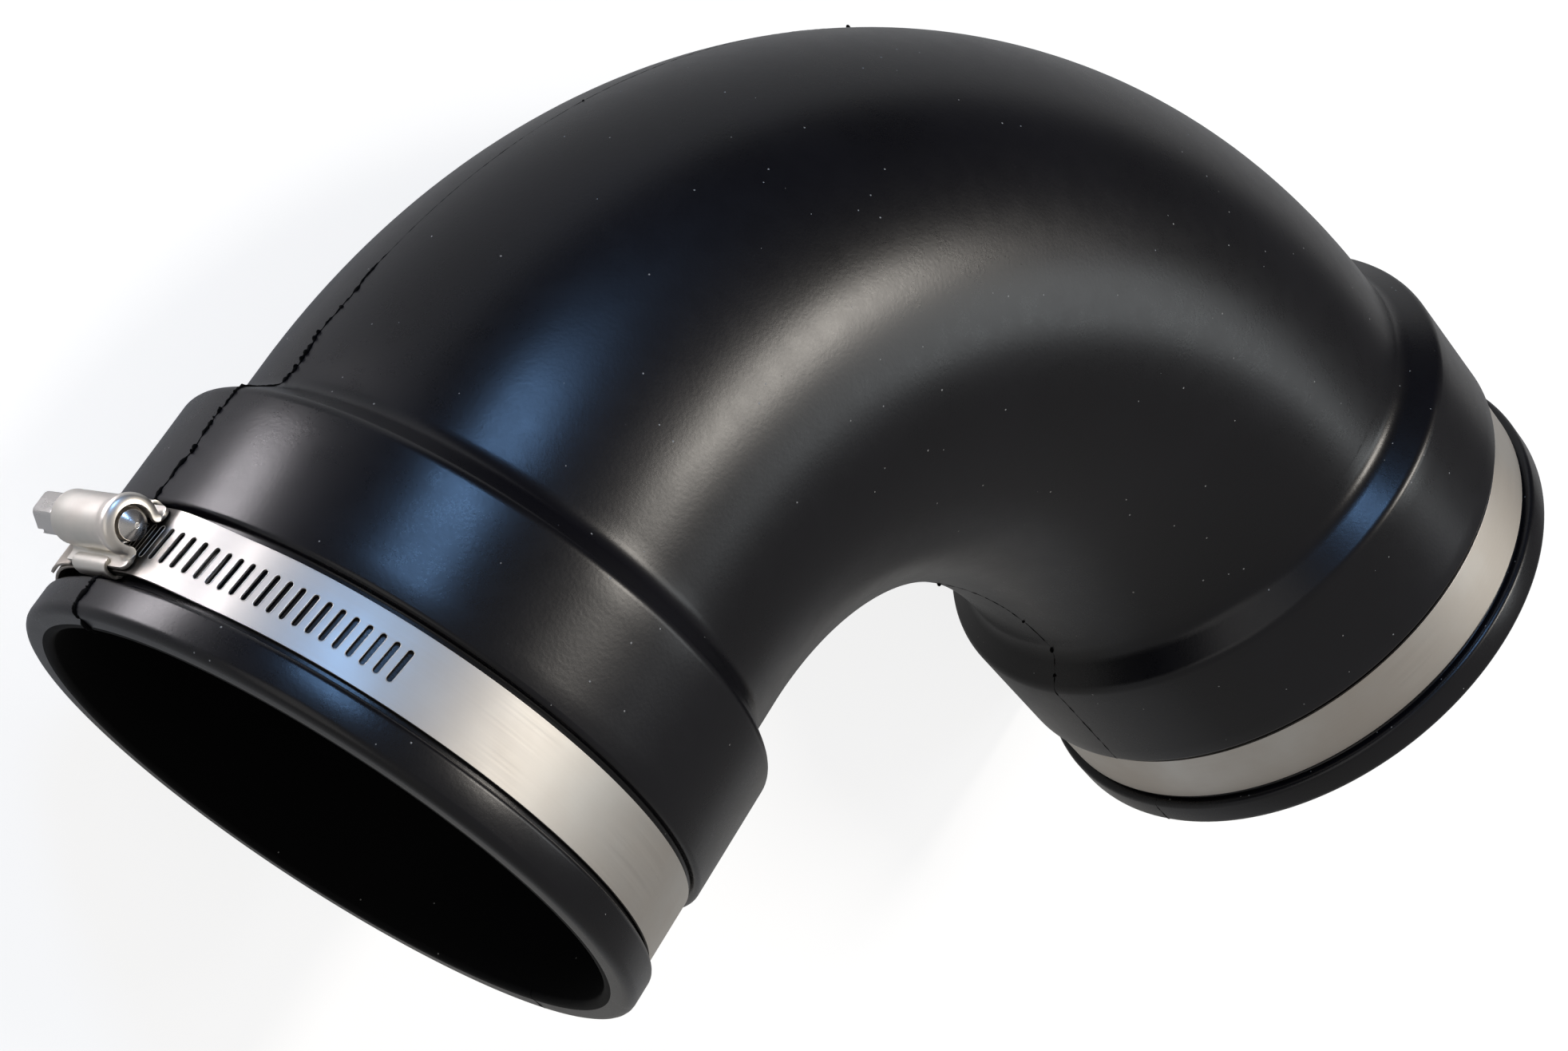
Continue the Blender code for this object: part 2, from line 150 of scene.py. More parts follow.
def grid_mesh(
    name: str, rows: list[Line], close_rows: bool = False, close_columns: bool = False
) -> bpy.types.Object:
    """Makes an object from rows of points.

    Args:
        name: the object's name.
        rows: rows with equal counts of points.
        close_rows: whether the last row meets the first.
        close_columns: whether each row is a ring.

    Returns:
        The new object.
    """
    mesh = bpy.data.meshes.new(name)
    faces = grid_faces(len(rows), len(rows[0]), close_rows, close_columns)
    mesh.from_pydata([point for row in rows for point in row], [], faces)
    return new_object(name, mesh)


def new_object(name: str, mesh: bpy.types.Mesh) -> bpy.types.Object:
    """Links a new object of a mesh to the scene.

    Args:
        name: the object's name.
        mesh: its mesh.

    Returns:
        The new object.
    """
    item = bpy.data.objects.new(name, mesh)
    bpy.context.scene.collection.objects.link(item)
    return item


def circle(radius: float, place: float, sides: int) -> Line:
    """Gives a ring of points round the Z axis, at a place along it."""
    turns = [math.tau * side / sides for side in range(sides)]
    return [Vector((radius * math.cos(t), radius * math.sin(t), place)) for t in turns]


def turned(name: str, profile: Line, sides: int) -> bpy.types.Object:
    """Turns a profile that starts and ends on the Z axis round it.

    Args:
        name: the object's name.
        profile: points of (radius, place along Z).
        sides: the steps round the axis.

    Returns:
        The new object.
    """
    rows = [circle(radius, place, sides) for radius, place in profile]
    item = grid_mesh(name, rows, close_columns=True)
    mend(item)
    return item


def mend(item: bpy.types.Object) -> None:
    """Merges a mesh's doubled points and turns its faces outwards.

    Args:
        item: the object.
    """
    work = bmesh.new()
    work.from_mesh(item.data)
    bmesh.ops.remove_doubles(work, verts=work.verts, dist=DOUBLED)
    bmesh.ops.dissolve_degenerate(work, edges=work.edges, dist=DOUBLED)
    bmesh.ops.recalc_face_normals(work, faces=work.faces)
    work.to_mesh(item.data)
    work.free()


def add_wall(item: bpy.types.Object, thickness: float, edge: float) -> None:
    """Gives a surface a sheet's thickness, half to each side, with softened edges.

    Args:
        item: the object.
        thickness: the sheet's thickness.
        edge: the width of the edges' rounding.
    """
    wall = item.modifiers.new("wall", "SOLIDIFY")
    wall.thickness = thickness
    wall.offset = 0.0
    wall.use_even_offset = False
    soften(item, edge)


def soften(item: bpy.types.Object, edge: float, segments: int = 2) -> None:
    """Rounds an object's sharp edges a little.

    Args:
        item: the object.
        edge: the width of the rounding.
        segments: its steps.
    """
    bevel = item.modifiers.new("edge", "BEVEL")
    bevel.width = edge
    bevel.segments = segments
    bevel.limit_method = "ANGLE"
    bevel.angle_limit = SHARP_EDGE
    bevel.harden_normals = False


def apply_modifiers(item: bpy.types.Object) -> None:
    """Turns an object's evaluated shape into its own plain mesh.

    Args:
        item: the object.
    """
    bpy.context.view_layer.update()
    graph = bpy.context.evaluated_depsgraph_get()
    mesh = bpy.data.meshes.new_from_object(item.evaluated_get(graph), depsgraph=graph)
    item.modifiers.clear()
    item.data = mesh


def settle(item: bpy.types.Object, place: Matrix, smooth_angle: float = 35.0) -> None:
    """Applies an object's modifiers and its place, and shades it smooth.

    Args:
        item: the object.
        place: the matrix that carries its mesh to its place in the frame.
        smooth_angle: edges sharper than this many degrees stay sharp.
    """
    apply_modifiers(item)
    mesh = item.data
    mesh.name = item.name
    mesh.transform(place)
    mesh.polygons.foreach_set("use_smooth", [True] * len(mesh.polygons))
    mesh.set_sharp_from_angle(angle=math.radians(smooth_angle))


def dress(item: bpy.types.Object, *materials: bpy.types.Material) -> None:
    """Gives an object its materials.

    Args:
        item: the object.
        materials: its materials, in the order of its slots.
    """
    item.data.materials.clear()
    for material in materials:
        item.data.materials.append(material)


# ---- Shader node groups ----


class NodeMaker:
    """Adds nodes to a tree and links them in order."""

    def __init__(self, tree: bpy.types.NodeTree) -> None:
        """Keeps the tree."""
        self.tree = tree

    def add(self, kind: str, inputs: dict | None = None, **settings: object) -> bpy.types.Node:
        """Adds a node.

        Args:
            kind: the node's type.
            inputs: socket name or index to a value or to another node's output socket.
            settings: the node's own properties.

        Returns:
            The new node.
        """
        node = self.tree.nodes.new(kind)
        for name, value in settings.items():
            setattr(node, name, value)
        for key, value in (inputs or {}).items():
            if isinstance(value, bpy.types.NodeSocket):
                self.tree.links.new(value, node.inputs[key])
            else:
                node.inputs[key].default_value = value
        return node

    def maths(
        self, operation: str, first: object, second: object = 0.0, clamp: bool = False
    ) -> bpy.types.NodeSocket:
        """Adds a Math node and gives its output."""
        node = self.add("ShaderNodeMath", {0: first, 1: second}, operation=operation, use_clamp=clamp)
        return node.outputs[0]

    def plus(self, first: object, second: object, clamp: bool = False) -> bpy.types.NodeSocket:
        """Adds two values."""
        return self.maths("ADD", first, second, clamp)

    def times(self, first: object, second: object) -> bpy.types.NodeSocket:
        """Multiplies two values."""
        return self.maths("MULTIPLY", first, second)

    def swing(self, noise: bpy.types.Node, depth: float) -> bpy.types.NodeSocket:
        """Gives a noise's swing to both sides of 0, over a depth."""
        return self.times(self.maths("SUBTRACT", noise.outputs[0], 0.5), depth)

    def noise(self, spot: object, scale: object, detail: float, **inputs: float) -> bpy.types.Node:
        """Adds a noise texture that is read at a spot."""
        inputs = {"Vector": spot, "Scale": scale, "Detail": detail, **inputs}
        return self.add("ShaderNodeTexNoise", inputs)

    def attribute(self, name: str, kind: str) -> bpy.types.NodeSocket:
        """Reads a named attribute in a Geometry Nodes tree."""
        return self.add("GeometryNodeInputNamedAttribute", {"Name": name}, data_type=kind).outputs[0]

    def lifted(self, shape: bpy.types.Node, rise: object) -> bpy.types.Node:
        """Moves a shape's points along Z in a Geometry Nodes tree."""
        offset = self.add("ShaderNodeCombineXYZ", {2: rise}).outputs[0]
        return self.add("GeometryNodeSetPosition", {"Geometry": shape.outputs[0], "Offset": offset})

    def wire(self, sides: int, radius: object) -> bpy.types.NodeSocket:
        """Makes a small ring for a curve's section."""
        node = self.add("GeometryNodeCurvePrimitiveCircle", {"Resolution": sides, "Radius": radius})
        return node.outputs[0]

    def ramp(
        self, value: object, low: float, high: float, to_low: float = 0.0, to_high: float = 1.0
    ) -> bpy.types.NodeSocket:
        """Maps a value from one range to another, held at its ends."""
        node = self.add("ShaderNodeMapRange", {0: value, 1: low, 2: high, 3: to_low, 4: to_high})
        return node.outputs[0]

    def mix(self, share: object, first: object, second: object) -> bpy.types.NodeSocket:
        """Mixes two colours and gives the mixed one."""
        node = self.add("ShaderNodeMix", {0: share, 6: first, 7: second}, data_type="RGBA")
        return node.outputs[2]


def open_group(name: str, inputs: dict[str, float], outputs: list[str]) -> tuple:
    """Starts a shader node group of plain numbers.

    Args:
        name: the group's name.
        inputs: each input's name and starting value.
        outputs: the names of its outputs.

    Returns:
        The group, its maker of nodes, its input node and its output node.
    """
    tree = bpy.data.node_groups.new(name, "ShaderNodeTree")
    for label, value in inputs.items():
        socket = tree.interface.new_socket(label, in_out="INPUT", socket_type="NodeSocketFloat")
        socket.default_value = value
    for label in outputs:
        tree.interface.new_socket(label, in_out="OUTPUT", socket_type="NodeSocketFloat")
    maker = NodeMaker(tree)
    return tree, maker, maker.add("NodeGroupInput"), maker.add("NodeGroupOutput")


class Effects:
    """The shader node groups that more than one finish uses."""

    def __init__(self) -> None:
        """Builds each group once."""
        self.specks = self.build_specks()
        self.grain = self.build_grain()
        self.clouds = self.build_clouds()
        self.pores = self.build_pores()

    @staticmethod
    def build_specks() -> bpy.types.NodeTree:
        """Makes scattered specks of dust as a mask.

        Returns:
            The node group.
        """
        inputs = {"Scale": 300.0, "Size": 0.06, "Share": 0.2}
        tree, make, inside, outside = open_group("dust specks", inputs, ["Mask"])
        spot = make.add("ShaderNodeTexCoord").outputs["Object"]
        cells = make.add("ShaderNodeTexVoronoi", {"Vector": spot, "Scale": inside.outputs["Scale"]})
        chosen = make.add("ShaderNodeSeparateColor", {"Color": cells.outputs["Color"]})
        near = make.maths("LESS_THAN", cells.outputs["Distance"], inside.outputs["Size"])
        kept = make.maths("LESS_THAN", chosen.outputs[0], inside.outputs["Share"])
        tree.links.new(make.times(near, kept), outside.inputs["Mask"])
        return tree

    @staticmethod
    def build_grain() -> bpy.types.NodeTree:
        """Makes fine lines along a piece's own map, as a rolled or drawn sheet has them.

        Returns:
            The node group.
        """
        inputs = {"Along": 40.0, "Across": 2200.0}
        tree, make, inside, outside = open_group("rolled grain", inputs, ["Lines"])
        spot = make.add("ShaderNodeUVMap", uv_map="Strip").outputs[0]
        parts = make.add("ShaderNodeSeparateXYZ", {0: spot})
        along = make.times(parts.outputs[0], inside.outputs["Along"])
        across = make.times(parts.outputs[1], inside.outputs["Across"])
        joined = make.add("ShaderNodeCombineXYZ", {0: along, 1: across})
        noise = make.noise(joined.outputs[0], 1.0, 3.0)
        tree.links.new(noise.outputs[0], outside.inputs["Lines"])
        return tree

    @staticmethod
    def build_clouds() -> bpy.types.NodeTree:
        """Makes soft, wide patches for handled or cloudy surfaces.

        Returns:
            The node group.
        """
        inputs = {"Scale": 40.0, "Sharpness": 0.3}
        tree, make, inside, outside = open_group("cloudy patches", inputs, ["Patches"])
        spot = make.add("ShaderNodeTexCoord").outputs["Object"]
        noise = make.noise(spot, inside.outputs["Scale"], 4.0)
        low = make.times(inside.outputs["Sharpness"], 0.5)
        high = make.maths("SUBTRACT", 1.0, low)
        edges = {0: noise.outputs[0], 1: low, 2: high}
        ranged = make.add("ShaderNodeMapRange", edges, interpolation_type="SMOOTHERSTEP")
        tree.links.new(ranged.outputs[0], outside.inputs["Patches"])
        return tree

    @staticmethod
    def build_pores() -> bpy.types.NodeTree:
        """Makes the fine pores and the slow swell of a moulded skin.

        Returns:
            The node group.
        """
        inputs = {"Pores": 1400.0, "Grain": 2300.0, "Waves": 28.0, "Swell": 2.2}
        tree, make, inside, outside = open_group("moulded skin", inputs, ["Skin", "Height"])
        spot = make.add("ShaderNodeTexCoord").outputs["Object"]
        pores = make.noise(spot, inside.outputs["Pores"], 3.0)
        swell = make.noise(spot, inside.outputs["Waves"], 1.0)
        skin = make.noise(spot, inside.outputs["Grain"], 2.0, Roughness=0.7)
        height = make.plus(pores.outputs[0], make.times(swell.outputs[0], inside.outputs["Swell"]))
        tree.links.new(height, outside.inputs["Height"])
        tree.links.new(skin.outputs[0], outside.inputs["Skin"])
        return tree


def place_group(make: NodeMaker, tree: bpy.types.NodeTree, **values: float) -> bpy.types.Node:
    """Places a node group in a material with its own values.

    Args:
        make: the material's maker of nodes.
        tree: the node group.
        values: each input's name and value.

    Returns:
        The group's node.
    """
    node = make.add("ShaderNodeGroup", node_tree=tree)
    for name, value in values.items():
        node.inputs[name].default_value = value
    return node


def brighter(colour: tuple[float, float, float], share: float) -> tuple[float, ...]:
    """Gives a colour times a share, with its alpha."""
    return (*(value * share for value in colour), 1.0)


def open_material(name: str) -> tuple[bpy.types.Material, NodeMaker, bpy.types.Node]:
    """Starts a material: gives it, its maker of nodes and its Principled node.

    Args:
        name: the material's name.

    Returns:
        The material, its maker of nodes and its Principled node.
    """
    material = bpy.data.materials.new(name)
    material.use_nodes = True
    return material, NodeMaker(material.node_tree), material.node_tree.nodes["Principled BSDF"]


# ---- Finishes ----


@dataclass(frozen=True)
class RubberFinish:
    """Moulded black rubber with dust, small pits and cloudy handling marks."""

    name: str
    colour: tuple[float, float, float] = (0.0026, 0.0024, 0.0038)
    roughness: float = 0.29
    specular: float = 0.5
    dust_share: float = 0.13
    pore_height: float = 0.7
    skin_variation: float = 0.07
    cloud_variation: float = 0.02
    pit_roughness: float = 0.12
    dust_roughness: float = 0.8
    dust_cover: float = 0.55
    dust_colour: tuple[float, float, float, float] = (0.55, 0.55, 0.54, 1.0)

    def build(self, effects: Effects) -> bpy.types.Material:
        """Builds the rubber's material.

        Args:
            effects: the shared node groups.

        Returns:
            The material.
        """
        material, make, shader = open_material(self.name)
        link = material.node_tree.links.new
        shader.inputs["Specular IOR Level"].default_value = self.specular
        clouds = place_group(make, effects.clouds, Scale=22.0, Sharpness=0.5)
        fine = place_group(make, effects.clouds, Scale=240.0, Sharpness=0.6)
        dust = place_group(make, effects.specks, Scale=330.0, Size=0.058, Share=self.dust_share)
        lint = place_group(make, effects.specks, Scale=620.0, Size=0.10, Share=0.035)
        pits = place_group(make, effects.specks, Scale=520.0, Size=0.07, Share=0.12)
        skin = place_group(make, effects.pores, Pores=1400.0, Grain=2300.0, Waves=28.0, Swell=2.2)
        marks = make.plus(dust.outputs[0], lint.outputs[0], clamp=True)
        base = make.mix(clouds.outputs[0], (*self.colour, 1.0), brighter(self.colour, 1.7))
        dusty = make.mix(make.times(marks, self.dust_cover), base, self.dust_colour)
        link(dusty, shader.inputs["Base Color"])
        low, high = self.roughness - 0.01, self.roughness + 0.02
        rough = make.ramp(clouds.outputs[0], 0.0, 1.0, low, high)
        rough = make.plus(rough, make.swing(fine, self.cloud_variation))
        rough = make.plus(rough, make.swing(skin, self.skin_variation))
        rough = make.plus(rough, make.times(pits.outputs[0], self.pit_roughness))
        rough = make.maths("MAXIMUM", rough, make.times(marks, self.dust_roughness))
        link(rough, shader.inputs["Roughness"])
        relief = {"Height": skin.outputs["Height"], "Distance": 0.02 * MM, "Strength": self.pore_height}
        link(make.add("ShaderNodeBump", relief).outputs[0], shader.inputs["Normal"])
        return material


@dataclass(frozen=True)
class SteelFinish:
    """Stainless sheet or bar: fine grain, cloudy polish and a little tint."""

    name: str
    colour: tuple[float, float, float]
    tint: tuple[float, float, float]
    roughness: float = 0.26
    grain_depth: float = 0.15
    along: float = 40.0
    across: float = 2200.0
    cloud_scale: float = 60.0
    # Whether the strip gets painted shade near the housing, read from its shade attribute.
    paints_housing_shade: bool = False
    grain_swing: float = 0.16
    dust_colour: tuple[float, float, float, float] = (0.30, 0.28, 0.26, 1.0)
    # The colour of the painted shade where the housing shades the strip.
    painted_shade_colour: tuple[float, float, float, float] = (0.012, 0.011, 0.010, 1.0)

    def build(self, effects: Effects) -> bpy.types.Material:
        """Builds the steel's material.

        Args:
            effects: the shared node groups.

        Returns:
            The material.
        """
        material, make, shader = open_material(self.name)
        link = material.node_tree.links.new
        shader.inputs["Metallic"].default_value = 1.0
        clouds = place_group(make, effects.clouds, Scale=self.cloud_scale, Sharpness=0.5)
        grain = place_group(make, effects.grain, Along=self.along, Across=self.across)
        dust = place_group(make, effects.specks, Scale=420.0, Size=0.07, Share=0.03)
        metal = make.mix(clouds.outputs[0], (*self.colour, 1.0), (*self.tint, 1.0))
        colour = make.mix(make.times(dust.outputs[0], 0.5), metal, self.dust_colour)
        low, high = self.roughness - 0.03, self.roughness + 0.06
        rough = make.ramp(clouds.outputs[0], 0.0, 1.0, low, high)
        # Painted shade: darkens and roughens the strip where the housing shades it, by the strip's
        # shade attribute.
        if self.paints_housing_shade:
            spread = make.add("ShaderNodeAttribute", attribute_name="painted_shade").outputs["Fac"]
            painted_shade = make.times(spread, 0.95)
            colour = make.mix(painted_shade, colour, self.painted_shade_colour)
            rough = make.maths("MAXIMUM", rough, make.times(painted_shade, 0.5))
        link(colour, shader.inputs["Base Color"])
        lines = make.swing(grain, self.grain_swing)
        link(make.plus(rough, lines, clamp=True), shader.inputs["Roughness"])
        relief = {"Height": grain.outputs[0], "Distance": 0.01 * MM, "Strength": self.grain_depth}
        link(make.add("ShaderNodeBump", relief).outputs[0], shader.inputs["Normal"])
        return material


STEELS = {
    "strip": SteelFinish(
        name="rolled_strip",
        colour=(0.76, 0.74, 0.70),
        tint=(0.64, 0.59, 0.53),
        roughness=0.50,
        grain_depth=0.10,
        cloud_scale=30.0,
        # The strip gets painted shade near the housing.
        paints_housing_shade=True,
    ),
    "pressed": SteelFinish(
        name="pressed_sheet",
        colour=(0.97, 0.91, 0.84),
        tint=(0.82, 0.80, 0.74),
        roughness=0.38,
        grain_depth=0.2,
        along=60.0,
        across=900.0,
        cloud_scale=120.0,
    ),
    "turned": SteelFinish(
        name="turned_bar",
        colour=(0.96, 0.92, 0.88),
        tint=(0.84, 0.82, 0.80),
        roughness=0.25,
        grain_depth=0.1,
        along=900.0,
        across=60.0,
        cloud_scale=150.0,
    ),
}


@dataclass(frozen=True)
class PlainFinish:
    """A dull dark finish with faint clouds, for the torn rubber of the parting line; its near-black
    colour and weak gloss are painted shade, the shadow of the crack along the seam.
    """

    name: str
    colour: tuple[float, float, float]
    roughness: float
    specular: float

    def build(self, effects: Effects) -> bpy.types.Material:
        """Builds the plain material.

        Args:
            effects: the shared node groups.

        Returns:
            The material.
        """
        material, make, shader = open_material(self.name)
        clouds = place_group(make, effects.clouds, Scale=300.0, Sharpness=0.5)
        base = make.mix(clouds.outputs[0], (*self.colour, 1.0), brighter(self.colour, 2.0))
        material.node_tree.links.new(base, shader.inputs["Base Color"])
        shader.inputs["Roughness"].default_value = self.roughness
        shader.inputs["Specular IOR Level"].default_value = self.specular
        return material


# ---- The elbow ----


@dataclass
class ElbowBody:
    """The moulded elbow: a swept tube with a grooved collar and a lip at each mouth."""

    bend_radius: float = 120.7 * MM
    tube_radius: float = 54.3 * MM
    tube_wall: float = 6.0 * MM
    neck_lengths: tuple[float, float] = (8.4 * MM, 2.2 * MM)
    collar_lengths: tuple[float, float] = (24.0 * MM, 25.5 * MM)
    shoulder_length: float = 5.2 * MM
    collar_radius: float = 60.6 * MM
    groove_depth: float = 2.0 * MM
    groove_width: float = 15.6 * MM
    lip_length: float = 7.2 * MM
    lip_radius: float = 61.2 * MM
    socket_radius: float = 55.2 * MM
    socket_depth: float = 44.0 * MM
    socket_step: float = 3.0 * MM
    mouth_edge: float = 1.9 * MM
    profile_step: float = 3.5 * MM
    sides: int = 176
    bend_steps: int = 84
    rim_cover: float = 4.0 * MM
    ragged_inner: float = 0.28
    ragged_lip: float = 1.8
    ragged_collar: float = 1.2
    ragged_bend: float = 0.11
    ragged_fade: float = 8.0 * MM

    def __post_init__(self) -> None:
        """Finds the bend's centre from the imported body's box."""
        low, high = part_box("elbow_body")
        self.centre = Vector((
            high[0] - self.mouth_distance(1),
            low[1] + self.mouth_distance(0),
            0.5 * (low[2] + high[2]),
        ))
        self.bend_length = 0.5 * math.pi * self.bend_radius

    def groove_start(self, end: int) -> float:
        """Gives the distance from the bend to an end's groove."""
        return self.neck_lengths[end] + self.shoulder_length + self.collar_lengths[end]

    def mouth_distance(self, end: int) -> float:
        """Gives the distance from the bend to an end's mouth."""
        return self.groove_start(end) + self.groove_width + self.lip_length

    def place(self, distance: float) -> Matrix:
        """Gives the frame of the centre line: X to the outside of the bend, Z towards mouth B.

        Args:
            distance: the way along the centre line from the bend's start at mouth A.

        Returns:
            The frame's matrix.
        """
        turned_by = min(max(distance / self.bend_length, 0.0), 1.0) * 0.5 * math.pi
        outward = Vector((-math.cos(turned_by), math.sin(turned_by), 0.0))
        along = Vector((math.sin(turned_by), math.cos(turned_by), 0.0))
        beyond = distance if distance < 0.0 else max(distance - self.bend_length, 0.0)
        matrix = Matrix((outward, along.cross(outward), along)).transposed().to_4x4()
        matrix.translation = self.centre + outward * self.bend_radius + along * beyond
        return matrix

    def outer_end(self, end: int) -> Line:
        """Gives an end's outer profile, from the bend outwards, as (distance, radius).

        Args:
            end: 0 for mouth A, 1 for mouth B.

        Returns:
            The profile's points.
        """
        neck = self.neck_lengths[end]
        collar = neck + self.shoulder_length
        groove = self.groove_start(end)
        floor = self.collar_radius - self.groove_depth
        lip = groove + self.groove_width
        mouth = self.mouth_distance(end)
        corners = [
            (neck - 5.0 * MM, self.tube_radius),
            (neck, self.tube_radius),
            (collar, self.collar_radius),
            (groove, self.collar_radius),
            (groove, floor),
            (lip, floor),
            (lip, self.lip_radius),
            (mouth, self.lip_radius),
            (mouth, self.socket_radius + self.mouth_edge),
        ]
        radii = [radius * MM for radius in (0.0, 5.0, 2.6, 1.0, 0.5, 0.5, 1.1, 1.9)]
        line = rounded_line([Vector(corner) for corner in corners], radii)
        dense = [line[0]]
        for start, stop in zip(line, line[1:]):
            pieces = max(1, round((stop - start).length / self.profile_step))
            dense += [start.lerp(stop, (piece + 1) / pieces) for piece in range(pieces)]
        return dense

    def inner_end(self, end: int) -> Line:
        """Gives an end's bore, from the mouth inwards, as (distance, radius).

        Args:
            end: 0 for mouth A, 1 for mouth B.

        Returns:
            The profile's points.
        """
        mouth = self.mouth_distance(end)
        stop = mouth - self.socket_depth
        bore = self.tube_radius - self.tube_wall
        corners = [
            (mouth, self.socket_radius + self.mouth_edge - 0.1 * MM),
            (mouth, self.socket_radius),
            (stop, self.socket_radius),
            (stop - self.socket_step, bore),
            (stop - 2.0 * self.socket_step, bore),
        ]
        radii = [radius * MM for radius in (0.0, 1.2, 1.0, 2.0)]
        return rounded_line([Vector(corner) for corner in corners], radii)

    def ring(self, distance: float, radius: float) -> Line:
        """Gives a ring of points round the centre line."""
        matrix = self.place(distance)
        return [matrix @ point for point in circle(radius, 0.0, self.sides)]

    def profile(self) -> tuple[Line, Line]:
        """Gives the outside from mouth A to mouth B, and the bore back to mouth A.

        Returns:
            Two lines of (distance, radius).
        """
        length = self.bend_length
        outside = [Vector((-point.x, point.y)) for point in reversed(self.outer_end(0))]
        for step in range(1, self.bend_steps):
            outside.append(Vector((length * step / self.bend_steps, self.tube_radius)))
        outside += [Vector((length + point.x, point.y)) for point in self.outer_end(1)]
        bore = [Vector((length + point.x, point.y)) for point in self.inner_end(1)]
        steps = self.bend_steps // 2
        wall = self.tube_radius - self.tube_wall
        bore += [Vector((length * step / steps, wall)) for step in range(steps, -1, -1)]
        bore += [Vector((-point.x, point.y)) for point in reversed(self.inner_end(0))]
        return outside, bore

    def build(self, rubber: bpy.types.Material, bore_rubber: bpy.types.Material) -> bpy.types.Object:
        """Builds the elbow's surface.

        Args:
            rubber: the material of the outside.
            bore_rubber: the material of the bore.

        Returns:
            The elbow's object.
        """
        outside, bore = self.profile()
        after = outside[1:] + bore[:1]
        outside = [point for point, then in zip(outside, after) if (then - point).length > 0.01 * MM]
        rows = [self.ring(*point) for point in outside + bore]
        item = grid_mesh("elbow_rubber", rows, True, True)
        dress(item, rubber, bore_rubber)
        inner = len(outside) * self.sides
        for face in item.data.polygons:
            face.material_index = 1 if min(face.vertices) >= inner else 0
        mend(item)
        settle(item, Matrix.Identity(4))
        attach(item, "elbow")
        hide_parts("elbow_body")
        return item

    def seam_lines(self) -> list[tuple[Line, list[float]]]:
        """Gives the parting line's stretches clear of the grooves, and how ragged each point is.

        Returns:
            Each stretch, with the raggedness of its points.
        """
        outside, bore = self.profile()
        rim = self.rim_cover - self.mouth_distance(0)
        stretches: list[Line] = [[point for point in bore if point.x < rim]]
        for point in outside:
            if self.in_groove(point):
                stretches.append([])
            else:
                stretches[-1].append(point)
        lines = []
        for stretch in stretches:
            if len(stretch) <= 3:
                continue
            for side in (1.0, -1.0):
                line = [self.place(spot.x) @ Vector((side * spot.y, 0.0, 0.0)) for spot in stretch]
                lines.append((line, [self.raggedness(spot.x, side) for spot in stretch]))
        return lines

    def in_groove(self, point: Vector) -> bool:
        """Tells whether a point of the outer profile lies in a band's groove.

        Args:
            point: the point, as (distance, radius).

        Returns:
            True in a groove.
        """
        past = (-point.x, point.x - self.bend_length)
        low = point.y < self.collar_radius - 0.5 * self.groove_depth
        width = self.groove_width + MM
        return low and any(0.0 < past[end] - self.groove_start(end) < width for end in (0, 1))

    def raggedness(self, distance: float, side: float) -> float:
        """Gives how ragged the parting line is: most on the outside of the bend, by mouth A.

        Args:
            distance: the way along the centre line.
            side: 1 on the outside of the bend, -1 on its inside.

        Returns:
            The raggedness, 1 for the plain measure.
        """
        if side < 0.0:
            return self.ragged_inner
        if distance < -self.groove_start(0):
            return self.ragged_lip
        fade = min(max((distance - self.ragged_fade) / self.ragged_fade, 0.0), 1.0)
        return self.ragged_collar + (self.ragged_bend - self.ragged_collar) * fade


